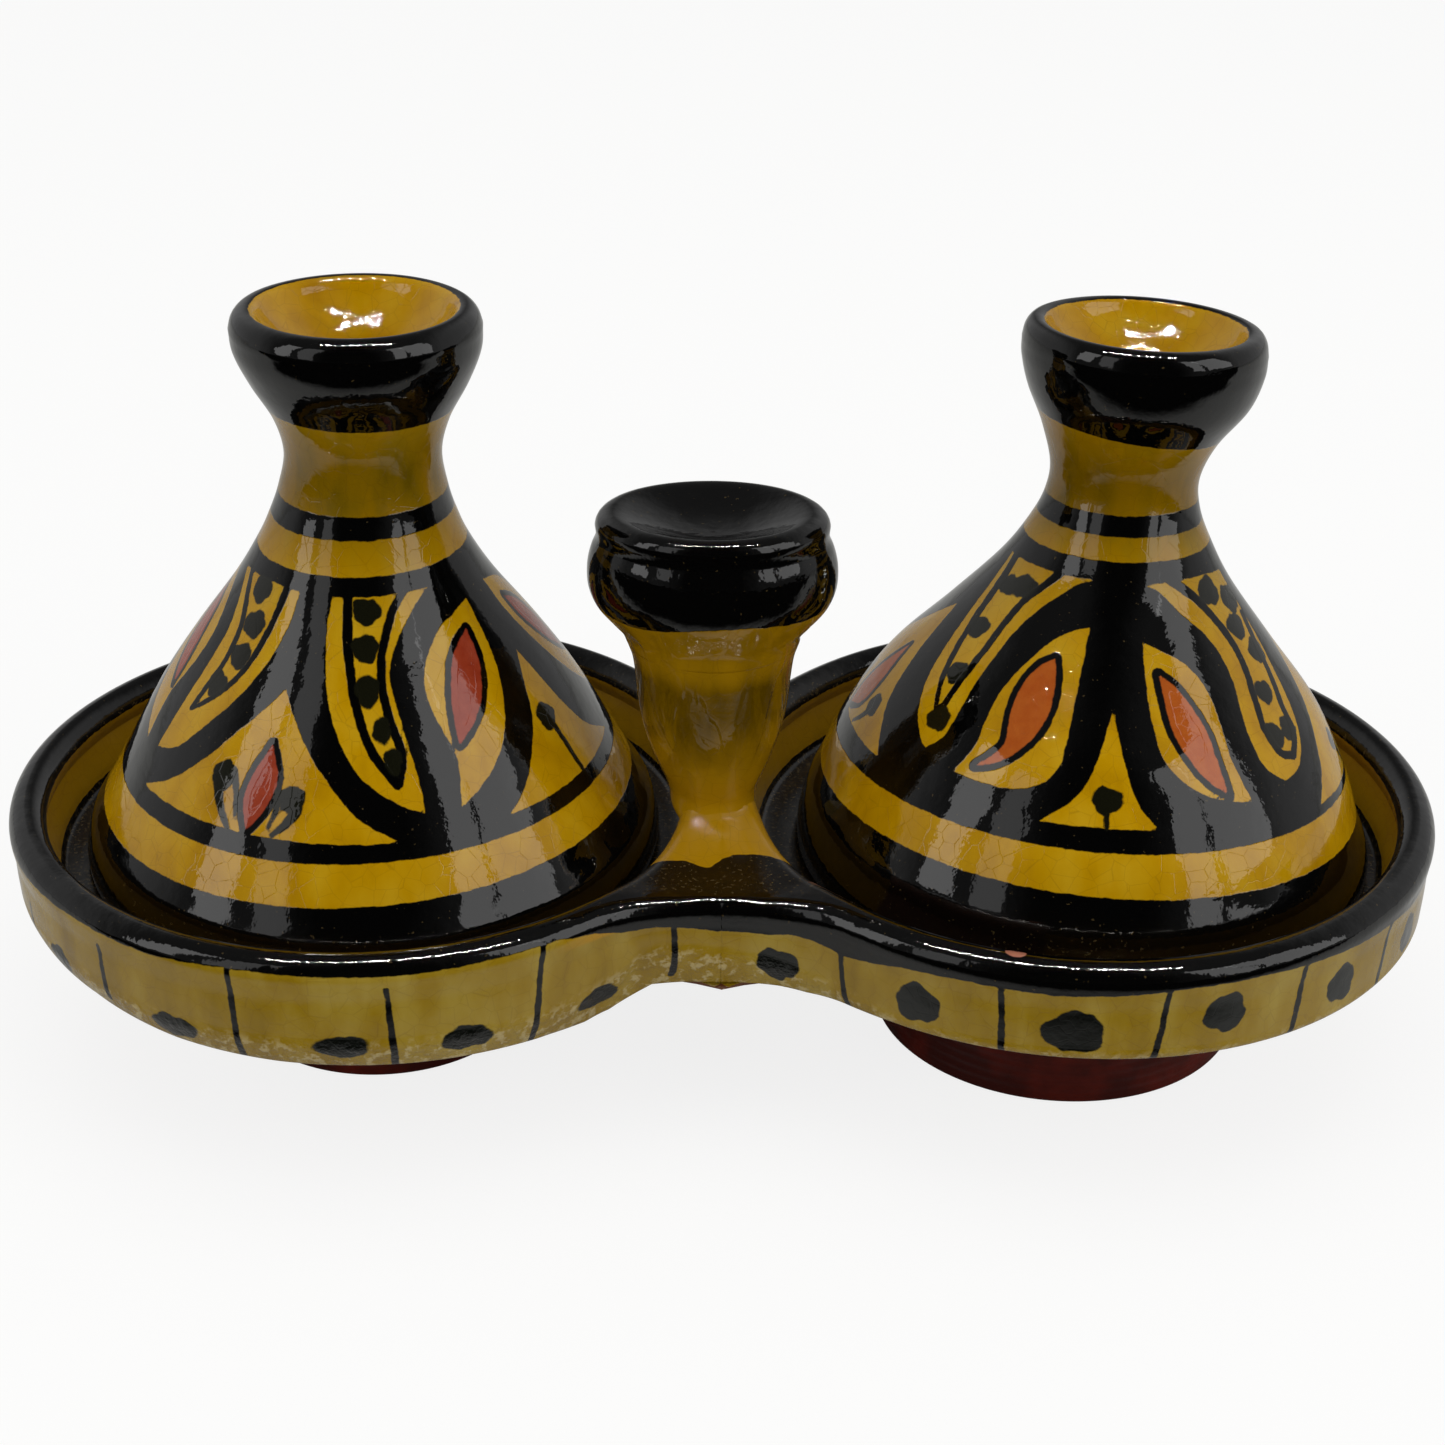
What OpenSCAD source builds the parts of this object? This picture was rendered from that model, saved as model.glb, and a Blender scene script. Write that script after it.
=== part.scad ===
// Double tagine condiment server in glazed earthenware.
// Two small footed dishes are luted rim to rim, with a web in front and one behind the join.
// A grip with a dished knob stands on the join, and each dish has its own conical lid.
// Millimetres, +Z up. The origin is on the table, midway between the two dishes.

/* [Dishes] */
// Outer diameter of a dish across its wall
dish_d = 100; // [92:1:108]
// How far the two dish walls run into each other where they are joined
wall_overlap = 2.6; // [1.6:0.2:4]
// Height of the wall's lower edge, the hem, above the table
hem_h = 23; // [21:0.5:26]
// Height of the top of the rolled rim above the table
rim_h = 37; // [35:0.5:40]
// Thickness of the dish wall
wall_t = 4.4; // [3.6:0.1:4.8]
// Radius of the rolled rim's bead
bead_r = 2.6; // [2.2:0.1:3]
// Height of the ledge that the lid stands on
seat_h = 27; // [26.4:0.2:28]
// Width of that ledge
ledge_w = 9; // [7:0.5:11]
// Thickness of the bowl under the ledge
bowl_t = 5; // [4:0.5:6]

/* [Feet] */
// Height of a foot
foot_h = 9; // [7:0.5:11]
// Diameter of the left foot on the table
left_foot_d = 43; // [38:1:48]
// Diameter of the right foot on the table
right_foot_d = 52; // [46:1:56]
// How far the foot narrows on each side towards its top
foot_taper = 1.2; // [0.5:0.1:2]
// Depth of the recess under the foot
foot_recess = 2.5; // [1.5:0.5:4]
// Width of the ring that the foot stands on
foot_ring_w = 5; // [4:0.5:7]

/* [Webs] */
// Radius of the hollow sweep in front, where the two walls run together
front_sweep_r = 32; // [24:1:40]
// Radius of the sweep behind
rear_sweep_r = 12; // [8:1:16]
// How far a sweep bites into the walls it meets, so the join keeps a faint crease
sweep_bite = 0.6; // [0.4:0.1:1]
// How far the top of a web lies below the rim's top
web_drop = 0.7; // [0.4:0.1:1.2]

/* [Grip] */
// How far the grip stands in front of the line through the dish centres
grip_forward = 10; // [7:0.5:12]
// How far the grip stands to the left of the middle
grip_left = 1.4; // [0:0.2:2]
// Radius of the stem at its waist
stem_r = 6; // [5.5:0.1:7]
// Radius of the stem under the knob
stem_top_r = 12; // [11:0.2:13]
// Radius of the skirt of clay round the foot of the stem
skirt_r = 14; // [12:0.5:16]
// Height of that skirt above the webs
skirt_h = 4.5; // [3:0.5:6]
// Height of the knob's underside above the table
knob_h = 62.5; // [60:0.5:65]
// Radius of the knob
knob_r = 16.3; // [15.5:0.1:17]
// Height of the knob
knob_t = 17.5; // [16:0.5:19]
// Depth of the thumb hollow in the top of the knob
thumb_depth = 2.6; // [1.5:0.1:4]

/* [Lids] */
// Radius of the lid's flange
flange_r = 39.8; // [39:0.1:40.5]
// Radius of the cone where it rises from the flange
shoulder_r = 37.2; // [35:0.2:38]
// Height of that shoulder above the ledge
shoulder_h = 9.5; // [8:0.5:11]
// Radius of the neck
neck_r = 10.2; // [9:0.1:11.5]
// Height of the left lid's neck above the ledge
left_neck_h = 57.5; // [54:0.5:60]
// Height of the right lid's neck above the ledge
right_neck_h = 54.5; // [51:0.5:58]
// Thickness of the lid's wall
lid_t = 4; // [3:0.2:5]
// Radius of the cup on top of the neck
cup_r = 16.2; // [15:0.1:18]
// Height of the cup above the neck
cup_h = 20.5; // [19:0.5:24]
// Depth of the hollow of the cup
cup_depth = 15; // [12:0.5:17]
// Thickness of the cup's lip
lip_t = 3.4; // [3:0.1:4.5]
// How far the right lid stands off the middle of its dish, to the right
right_lid_off = 1.7; // [0:0.1:2.2]
// Lean of the left lid towards the right, in degrees
left_lean = 1.5; // [0:0.1:4]
// Lean of the right lid towards the right, in degrees
right_lean = 2.7; // [0:0.1:4]
// Lean of the right lid towards the back, in degrees
right_back_lean = 4; // [0:0.2:5]

/* [Hidden] */
$fn = 96;
fine = 180;                               // facets of a large turned surface

glaze_yellow = "#C98F14";
glaze_black = "#15130F";
bare_clay = "#5A1F12";
left = -1;
right = 1;
far = 200;                                // a length past every edge, for cutting blocks
dish_r = dish_d / 2;
dish_x = (dish_d - wall_overlap) / 2;      // half the distance between the dish centres
inner_r = dish_r - wall_t;                // inside of the dish wall
bead_z = rim_h - bead_r;                  // height of the bead's centre
bead_x = dish_r - bead_r;                 // radius of the bead's centre circle
hem_lip = 2;                              // the flat under the wall, inside the hem's edge
hem_round = 0.8;                          // rounding of the hem's edge
fillet_r = 1.2;                           // fillet where wall and ledge meet
bowl_flat = 0.6;                          // flat bottom of the bowl, as a share of the foot
web_top = rim_h - web_drop;
socket_z = bead_z - 2;                    // bottom of the socket for the stem
stem_join_z = rim_h + 1;                  // above this the stem is whole on all sides
lid_crown = 0.74;                         // height of the lid's inside, as a share of the neck's

// Points on an arc round [x, z] from angle a to angle b
function arc(c, r, a, b, n = 8) =
    [for (i = [0:n]) let (t = a + (b - a) * i / n) [c[0] + r * cos(t), c[1] + r * sin(t)]];

// Points on a cubic curve from p to s that leaves p towards q and arrives from r
function curve(p, q, r, s, n = 12) =
    [for (i = [0:n]) let (t = i / n, u = 1 - t)
        u*u*u * p + 3*u*u*t * q + 3*u*t*t * r + t*t*t * s];

// Distance from the line of dish centres to the centre of a sweep that meets both walls
function sweep_y(r) = sqrt(pow(dish_r + r - sweep_bite, 2) - pow(dish_x, 2));

// Radius of a foot at its top, where the bowl stands on it
function foot_top_r(foot_d) = foot_d / 2 - foot_taper;

// A closed outline turned round the Z axis
module turned(points) {
    rotate_extrude($fn = fine) polygon(points);
}

// ---- dishes ----

// Outside of a dish, filled in: underside, hem, wall and rolled rim
module dish_filled(foot_d) {
    turned(concat(
        [[0, foot_h], [foot_top_r(foot_d), foot_h]],
        curve([foot_top_r(foot_d), foot_h], [foot_top_r(foot_d) * 1.35, foot_h * 1.45],
              [dish_r * 0.76, hem_h * 0.78], [dish_r - hem_lip - 1, hem_h], 6),
        arc([dish_r - hem_round - 0.4, hem_h + hem_round], hem_round, -90, 0, 3),
        arc([bead_x, bead_z], bead_r, 0, 90, 6),
        [[0, rim_h]]
    ));
}

// Hollow of a dish: the rim's inner half, the wall, the ledge and the bowl
module dish_hollow(foot_d) {
    bowl_r = foot_top_r(foot_d) * bowl_flat;
    floor_z = foot_h + bowl_t;
    ledge_r = inner_r - ledge_w;
    turned(concat(
        [[0, floor_z], [bowl_r, floor_z]],
        curve([bowl_r, floor_z], [bowl_r * 1.8, floor_z + 1],
              [ledge_r * 0.83, seat_h - 4], [ledge_r, seat_h], 8),
        arc([inner_r - fillet_r, seat_h + fillet_r], fillet_r, -90, 0, 3),
        [[inner_r, bead_z - bead_r / 2]],
        arc([bead_x, bead_z], bead_r, 180, 90, 6),
        [[bead_x, rim_h + 1], [0, rim_h + 1]]
    ));
}

// Socket in the rims and webs that the stem's tenon fills
module stem_socket() {
    translate([-grip_left, -grip_forward, socket_z]) cylinder(r = stem_r, h = far);
}

module dish(side, foot_d) {
    color(glaze_yellow) difference() {
        translate([side * dish_x, 0, 0]) difference() {
            dish_filled(foot_d);
            dish_hollow(foot_d);
        }
        // the walls meet on the middle plane
        translate([side > 0 ? -far : 0, -far / 2, -1]) cube([far, far, far]);
        stem_socket();
    }
}

module foot(side, foot_d) {
    ring_r = foot_d / 2;
    color(bare_clay) translate([side * dish_x, 0, 0]) turned(concat(
        [[0, foot_recess], [ring_r - foot_ring_w - 1, foot_recess], [ring_r - foot_ring_w, 0]],
        arc([ring_r - 0.8, 0.8], 0.8, -90, 0, 3),
        [[foot_top_r(foot_d), foot_h], [0, foot_h]]
    ));
}

// ---- webs between the dishes ----

// A web: its outer face is swept round an axis outside the join, and its inner sides
// follow the two dish walls. facing is -1 in front and 1 behind.
module web(facing, sweep_r) {
    axis_y = sweep_y(sweep_r);
    color(glaze_yellow) difference() {
        intersection() {
            translate([0, facing * axis_y, 0]) turned(concat(
                [[sweep_r + hem_round, hem_h]],
                [[axis_y, hem_h], [axis_y, web_top]],
                [[sweep_r + 2 * bead_r, web_top]],
                arc([sweep_r + bead_r, bead_z], bead_r, 60, 180, 8),
                [[sweep_r, hem_h + hem_round]]
            ));
            linear_extrude(height = far)
                polygon([[-dish_x, 0], [dish_x, 0], [0, facing * axis_y]]);
        }
        translate([-dish_x, 0, 0]) dish_filled(left_foot_d);
        translate([dish_x, 0, 0]) dish_filled(right_foot_d);
        stem_socket();
    }
}

// ---- grip ----

// Space over the two dishes, inside their walls
module over_dishes(bottom, top) {
    for (side = [left, right])
        translate([side * dish_x, 0, bottom]) cylinder(r = inner_r, h = top - bottom, $fn = 128);
}

module grip_stem() {
    color(glaze_yellow) union() {
        // the stem, widening to the knob
        translate([-grip_left, -grip_forward, 0]) turned(concat(
            [[0, stem_join_z]],
            curve([stem_r, stem_join_z], [stem_r, stem_join_z + 8],
                  [stem_top_r - 1.6, knob_h - 12], [stem_top_r - 1.6, knob_h - 3], 8),
            [[stem_top_r, knob_h], [0, knob_h]]
        ));
        difference() {
            translate([-grip_left, -grip_forward, 0]) union() {
                // tenon in the socket
                translate([0, 0, socket_z]) cylinder(r = stem_r, h = stem_join_z - socket_z);
                // skirt smoothed down on the webs
                turned(concat(
                    [[0, web_top]],
                    curve([skirt_r, web_top], [stem_r + 4, web_top + 0.8],
                          [stem_r, web_top + 1.6], [stem_r, web_top + skirt_h], 8),
                    [[0, web_top + skirt_h]]
                ));
            }
            over_dishes(0, far);
            for (side = [left, right]) difference() {
                translate([side * dish_x, 0, 0]) dish_filled(left_foot_d);
                stem_socket();
            }
        }
    }
}

module grip_knob() {
    waist_z = knob_h + 0.62 * knob_t;      // groove between the two rolls of the knob
    top_z = knob_h + knob_t;
    roll_r = knob_r - 0.8;                 // the upper roll is a little narrower
    color(glaze_black) translate([-grip_left, -grip_forward, 0]) turned(concat(
        [[0, knob_h], [stem_top_r, knob_h]],
        curve([stem_top_r, knob_h], [stem_top_r + 3, knob_h + 1],
              [knob_r, knob_h + 3], [knob_r, knob_h + 7], 6),
        curve([knob_r, knob_h + 7], [knob_r, waist_z - 1], [roll_r - 0.4, waist_z - 0.6],
              [roll_r - 0.4, waist_z], 4),
        curve([roll_r - 0.4, waist_z], [roll_r + 0.6, waist_z + 2], [roll_r - 0.3, top_z - 0.4],
              [roll_r - 3.2, top_z], 6),
        curve([roll_r - 3.2, top_z], [roll_r - 6, top_z + 0.2],
              [roll_r / 2, top_z - thumb_depth], [0, top_z - thumb_depth], 6)
    ));
}

// ---- lids ----

// Outside of the cone, from below the flange to the neck, about the lid's own axis
module cone_filled(neck_h) {
    turned(concat(
        [[0, -shoulder_h / 3], [shoulder_r + shoulder_h * 2 / 3, -shoulder_h / 3]],
        curve([shoulder_r, shoulder_h], [shoulder_r * 0.6, neck_h * 0.63],
              [neck_r, neck_h * 0.76], [neck_r, neck_h], 14),
        [[0, neck_h]]
    ));
}

// Inside of the cone, closed under the neck
module cone_hollow(neck_h) {
    crown_h = neck_h * lid_crown;
    crown_r = neck_r - lid_t;
    turned(concat(
        [[0, -shoulder_h / 3], [shoulder_r - lid_t + shoulder_h / 2, -shoulder_h / 3]],
        curve([shoulder_r - lid_t, shoulder_h], [shoulder_r * 0.6 - lid_t, neck_h * 0.58],
              [crown_r + 3, crown_h - 5], [crown_r, crown_h - 1], 10),
        curve([crown_r, crown_h - 1], [crown_r - 1, crown_h],
              [crown_r / 3, crown_h + 0.5], [0, crown_h + 0.5], 3)
    ));
}

// Flange that stands level on the ledge and sweeps up to the shoulder
module flange() {
    turned(concat(
        [[shoulder_r - 2 * lid_t, 0], [flange_r - 0.8, 0]],
        arc([flange_r - 0.8, 0.8], 0.8, -90, 0, 3),
        curve([flange_r, 2], [flange_r - 0.4, 6], [shoulder_r + 1.4, shoulder_h],
              [shoulder_r - 3.6, shoulder_h + 4], 8),
        [[shoulder_r - 2 * lid_t, shoulder_h + 4]]
    ));
}

module lid(x, neck_h, lean) {
    color(glaze_yellow) translate([x, 0, seat_h]) difference() {
        union() {
            flange();
            rotate(lean) cone_filled(neck_h);
        }
        rotate(lean) cone_hollow(neck_h);
        translate([0, 0, -far]) cylinder(r = far / 2, h = far);
    }
}

module lid_cup(x, neck_h, lean) {
    lip_r = cup_r - lip_t;
    color(glaze_black) translate([x, 0, seat_h]) rotate(lean) translate([0, 0, neck_h]) turned(concat(
        [[0, 0]],
        curve([neck_r, 0], [neck_r, cup_h * 0.3], [cup_r, cup_h * 0.42], [cup_r, cup_h * 0.75], 10),
        curve([cup_r, cup_h * 0.75], [cup_r, cup_h * 0.9],
              [cup_r - lip_t / 4, cup_h], [cup_r - lip_t / 2, cup_h], 6),
        curve([cup_r - lip_t / 2, cup_h], [lip_r + 0.6, cup_h],
              [lip_r + 0.3, cup_h - 1], [lip_r, cup_h - 2], 4),
        curve([lip_r, cup_h - 2], [lip_r - 2, cup_h - cup_depth * 0.6],
              [lip_r * 0.4, cup_h - cup_depth + 1], [0, cup_h - cup_depth], 8)
    ));
}

dish(left, left_foot_d);  // left_dish
dish(right, right_foot_d);  // right_dish
foot(left, left_foot_d);  // left_foot
foot(right, right_foot_d);  // right_foot
web(-1, front_sweep_r);  // front_web
web(1, rear_sweep_r);  // rear_web
grip_stem();
grip_knob();
lid(-dish_x, left_neck_h, [0, left_lean, 0]);  // left_lid
lid_cup(-dish_x, left_neck_h, [0, left_lean, 0]);  // left_lid_cup
lid(dish_x + right_lid_off, right_neck_h, [-right_back_lean, right_lean, 0]);  // right_lid
lid_cup(dish_x + right_lid_off, right_neck_h, [-right_back_lean, right_lean, 0]);  // right_lid_cup
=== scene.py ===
import math
import bpy
import numpy as np
from mathutils import Matrix


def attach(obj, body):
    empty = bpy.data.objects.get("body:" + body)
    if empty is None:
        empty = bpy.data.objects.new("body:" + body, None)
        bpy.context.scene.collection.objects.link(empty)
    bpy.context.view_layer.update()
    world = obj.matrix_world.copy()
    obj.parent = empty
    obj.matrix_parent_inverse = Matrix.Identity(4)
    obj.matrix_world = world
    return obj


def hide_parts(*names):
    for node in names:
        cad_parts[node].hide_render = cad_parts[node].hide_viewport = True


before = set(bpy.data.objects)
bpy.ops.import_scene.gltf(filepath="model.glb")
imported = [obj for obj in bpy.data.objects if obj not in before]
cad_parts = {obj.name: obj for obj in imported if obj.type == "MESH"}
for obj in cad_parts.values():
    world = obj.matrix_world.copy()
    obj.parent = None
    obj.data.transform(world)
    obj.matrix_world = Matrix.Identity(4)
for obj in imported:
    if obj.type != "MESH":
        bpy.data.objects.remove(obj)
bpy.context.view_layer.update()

mm = 0.001  # everything below is worked out in millimetres


def smoothStep(t):
    # 0 below 0, 1 above 1, and 3t^2 - 2t^3 between
    t = np.clip(t, 0.0, 1.0)
    return t * t * (3.0 - 2.0 * t)


def throughPoints(points, perSpan=10):
    # a smooth line through the points: each span is a cubic whose slopes come from its neighbours
    p = np.asarray(points, float)
    ends = np.vstack([2 * p[0] - p[1], p, 2 * p[-1] - p[-2]])
    t = np.linspace(0, 1, perSpan, endpoint=False)[None, :, None]
    a, b, c, d = (ends[i:len(ends) - 3 + i][:, None, :] for i in range(4))
    q = 0.5 * (2 * b + (c - a) * t + (2 * a - 5 * b + 4 * c - d) * t**2 + (3 * b - a - 3 * c + d) * t**3)
    return np.vstack([q.reshape(-1, p.shape[1]), p[-1:]])


def evenSteps(line, step):
    # the same line with points about one step apart along it
    along = np.concatenate([[0], np.cumsum(np.linalg.norm(np.diff(line, axis=0), axis=1))])
    at = np.linspace(0, along[-1], max(2, int(round(along[-1] / step)) + 1))
    return np.stack([np.interp(at, along, column) for column in line.T], 1)


def cubic(ends, t):
    # the curve that leaves the first value towards the second and reaches the last from the third
    weight = ((1 - t) ** 3, 3 * (1 - t) ** 2 * t, 3 * (1 - t) * t ** 2, t ** 3)
    return sum(w * end for w, end in zip(weight, ends))


def joinRuns(runs):
    # profile made of smooth runs with corners between them; each run is (points, step)
    parts = [evenSteps(throughPoints(points), step) for points, step in runs]
    return np.vstack([parts[0]] + [p[1:] for p in parts[1:]])


def atHeight(table, height, column):
    # value of one column of a smooth table, looked up by its first column
    line = throughPoints(table, 12)
    return np.interp(height, line[:, 0], line[:, column])


def lumps(angle, height, seed, size):
    # unevenness of hand work: a sum of sines round the piece and up it, with seeded phases
    rng = np.random.default_rng(seed)
    total = 0.0
    for turns in (1, 2, 3, 5, 8):
        phase = rng.uniform(0, 2 * np.pi, 2)
        total = total + np.sin(turns * angle + phase[0]) * np.cos(height * turns / 26 + phase[1]) / turns
    return size * total


allPaint, noPaint = 5.0, -5.0  # a painted distance is positive inside and is cut off past these


def lineDistance(canvas, line):
    # distance from each point of the canvas to a line, and whether the closed line holds the point
    du = (line[:, 0][None, :] - canvas["u"][:, None]) * canvas["perU"][:, None]
    dv = (line[:, 1][None, :] - canvas["v"][:, None]) * canvas["perV"][:, None]
    ax, ay, bx, by = du[:, :-1], dv[:, :-1], du[:, 1:], dv[:, 1:]
    ex, ey = bx - ax, by - ay
    t = np.clip(-(ax * ex + ay * ey) / (ex * ex + ey * ey + 1e-12), 0, 1)
    near = np.sqrt(((ax + t * ex) ** 2 + (ay + t * ey) ** 2).min(axis=1))
    crossing = (ay > 0) != (by > 0)
    ahead = ax - ay * ex / np.where(ey == 0, 1e-12, ey) > 0
    return near, (crossing & ahead).sum(axis=1) % 2 == 1


def areaField(canvas, runs):
    # positive inside a closed shape made of smooth runs that meet at corners; each run starts where the
    # one before it ends
    corners = [runs[-1][-1]] + [run[-1] for run in runs[:-1]]
    line = np.vstack([throughPoints([corner] + run, 6)[:-1] for corner, run in zip(corners, runs)])
    line = np.vstack([line, line[:1]])
    near, inside = lineDistance(canvas, line)
    return np.where(inside, near, -near)


def strokeField(canvas, points, widths):
    # positive inside a brush stroke whose half width runs from widths[0] to widths[1]
    line = throughPoints(points, 6)
    near, _ = lineDistance(canvas, line)
    low, high = line[:, 1].min(), line[:, 1].max()
    share = np.clip((canvas["v"] - low) / max(high - low, 0.1), 0, 1)
    return widths[0] + (widths[1] - widths[0]) * share - near


def dotField(canvas, dot):
    # positive inside an oval of half width a and half height b, its edge pushed in and out
    u, v, a, b = dot
    x, y = (canvas["u"] - u) * canvas["perU"], (canvas["v"] - v) * canvas["perV"]
    angle = np.arctan2(y, x)
    waver = 0.07 * np.sin(3 * angle + u) + 0.05 * np.sin(5 * angle + 2 * v)
    waver = waver + 0.03 * np.sin(9 * angle + u + v)
    return (1 + waver - np.sqrt((x / a) ** 2 + (y / b) ** 2)) * min(a, b)


def closedSurface(name, rings, poles, paint=None):
    # rings of points, each closed on itself, joined to the next and shut by a point at both ends
    rows, columns = rings.shape[:2]
    vertices = np.vstack([rings.reshape(-1, 3), np.asarray(poles, float)]) * mm
    here = np.arange(rows * columns).reshape(rows, columns)
    beside = np.roll(here, -1, axis=1)
    quads = np.stack([here[:-1], beside[:-1], beside[1:], here[1:]], -1).reshape(-1)
    low = np.stack([np.full(columns, rows * columns), beside[0], here[0]], -1).reshape(-1)
    high = np.stack([here[-1], beside[-1], np.full(columns, rows * columns + 1)], -1).reshape(-1)
    corners = np.concatenate([quads, low, high]).astype(np.int32)
    sizes = np.concatenate([np.full((rows - 1) * columns, 4), np.full(2 * columns, 3)]).astype(np.int32)
    starts = np.concatenate([[0], np.cumsum(sizes)[:-1]]).astype(np.int32)
    mesh = bpy.data.meshes.new(name)
    mesh.vertices.add(len(vertices))
    mesh.vertices.foreach_set("co", vertices.astype(np.float32).ravel())
    mesh.loops.add(len(corners))
    mesh.loops.foreach_set("vertex_index", corners)
    mesh.polygons.add(len(sizes))
    mesh.polygons.foreach_set("loop_start", starts)
    mesh.polygons.foreach_set("use_smooth", np.ones(len(sizes), bool))
    mesh.update(calc_edges=True)
    mesh.validate()
    for field, values in (paint or {}).items():
        if np.isscalar(values):
            values = np.full((rows, columns), values)
        spread, ends = values.reshape(-1), np.array([values[0].mean(), values[-1].mean()])
        layer = mesh.attributes.new(field, "FLOAT", "POINT")
        layer.data.foreach_set("value", np.concatenate([spread, ends]).astype(np.float32))
    piece = bpy.data.objects.new(name, mesh)
    bpy.context.scene.collection.objects.link(piece)
    return piece


def finishPiece(piece, material, body, nodes):
    # material, sharp edges, and its place in the model
    piece.data.materials.append(material)
    piece.data.set_sharp_from_angle(angle=math.radians(38))
    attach(piece, body)
    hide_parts(*nodes)
    print("made", piece.name, len(piece.data.polygons), "faces")


def toLinear(code):
    # sRGB hex to linear: s / 12.92 near black, ((s + 0.055) / 1.055) ^ 2.4 above
    parts = [int(code[i:i + 2], 16) / 255 for i in (1, 3, 5)]
    return tuple(s / 12.92 if s <= 0.04045 else ((s + 0.055) / 1.055) ** 2.4 for s in parts) + (1.0,)


def addNode(tree, kind, settings=None, inputs=None):
    # one node, its settings, and its inputs: a value, or an output socket to link from
    node = tree.nodes.new(kind)
    for key, value in (settings or {}).items():
        setattr(node, key, value)
    for key, value in (inputs or {}).items():
        if isinstance(value, bpy.types.NodeSocket):
            tree.links.new(value, node.inputs[key])
        else:
            node.inputs[key].default_value = value
    return node


def newMaterial(name):
    # an empty node material and its tree
    material = bpy.data.materials.new(name)
    material.use_nodes = True
    material.node_tree.nodes.clear()
    return material, material.node_tree


def edgeMask(tree, field, noise, push, soft):
    # 1 where a painted distance is positive; noise moves the edge and soft is its width in millimetres
    distance = addNode(tree, "ShaderNodeAttribute", {"attribute_name": field}).outputs["Fac"]
    moved = addNode(tree, "ShaderNodeMath", {"operation": "MULTIPLY_ADD"},
                    {0: noise, 1: push, 2: distance})
    return addNode(tree, "ShaderNodeMapRange", {"interpolation_type": "SMOOTHSTEP"},
                   {"Value": moved.outputs[0], "From Min": push / 2 - soft,
                    "From Max": push / 2 + soft}).outputs[0]


def mixColours(tree, share, first, second, blend="MIX"):
    # first x (1 - share) + second x share, or the two multiplied; each may be a value or a socket
    mix = addNode(tree, "ShaderNodeMix", {"data_type": "RGBA", "blend_type": blend})
    for socket, value in ((mix.inputs[0], share), (mix.inputs[6], first), (mix.inputs[7], second)):
        if isinstance(value, bpy.types.NodeSocket):
            tree.links.new(value, socket)
        else:
            socket.default_value = value
    return mix.outputs[2]


# Lead-glazed earthenware: slip colours brushed on by hand under one clear, glossy, slightly wavy
# glaze. It gives a wet shine, colour that pools and thins, brush-wavered edges and fine crazing.
lidGlazeLook = {
    "yellow": "#C09002", "yellowDeep": "#A27200", "yellowPale": "#CEA41E", "warm": "#BC8A02",
    "pooledAndShade": "#80824C", "black": "#040404", "blackThin": "#0E0904", "speck": "#40351F",
    # the hem's pale fleck colour is partly thin glaze at the edge and partly painted glints
    "red": "#84240F", "redPale": "#A8482C", "dark": "#14140A", "bare": "#6A3A1C", "fleckAndGlint": "#C8B684",
    "crackCell": 2.4, "crackWidth": 0.06, "waves": 0.9,
    # widths in millimetres of cloudiness, waves, brush edge, pinholes, grit, runs and sheets of glaze
    "broad": 26, "blotch": 5, "brush": 1.6, "grain": 0.7, "grit": 0.55, "runs": 4.5, "sheets": 6.5,
    "polished": 0.02, "dull": 0.07,  # roughness of the glaze where it is smoothest and dullest
}
orangeLidGlazeLook = {**lidGlazeLook, "red": "#A2420A", "redPale": "#BA6420"}
dishGlazeLook = {
    **lidGlazeLook, "yellow": "#967814", "yellowDeep": "#7A5E0A", "yellowPale": "#AC943C",
    "warm": "#B28408", "red": "#A86450", "redPale": "#BE8068", "dark": "#0C0E0A", "waves": 1.5,
}


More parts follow.
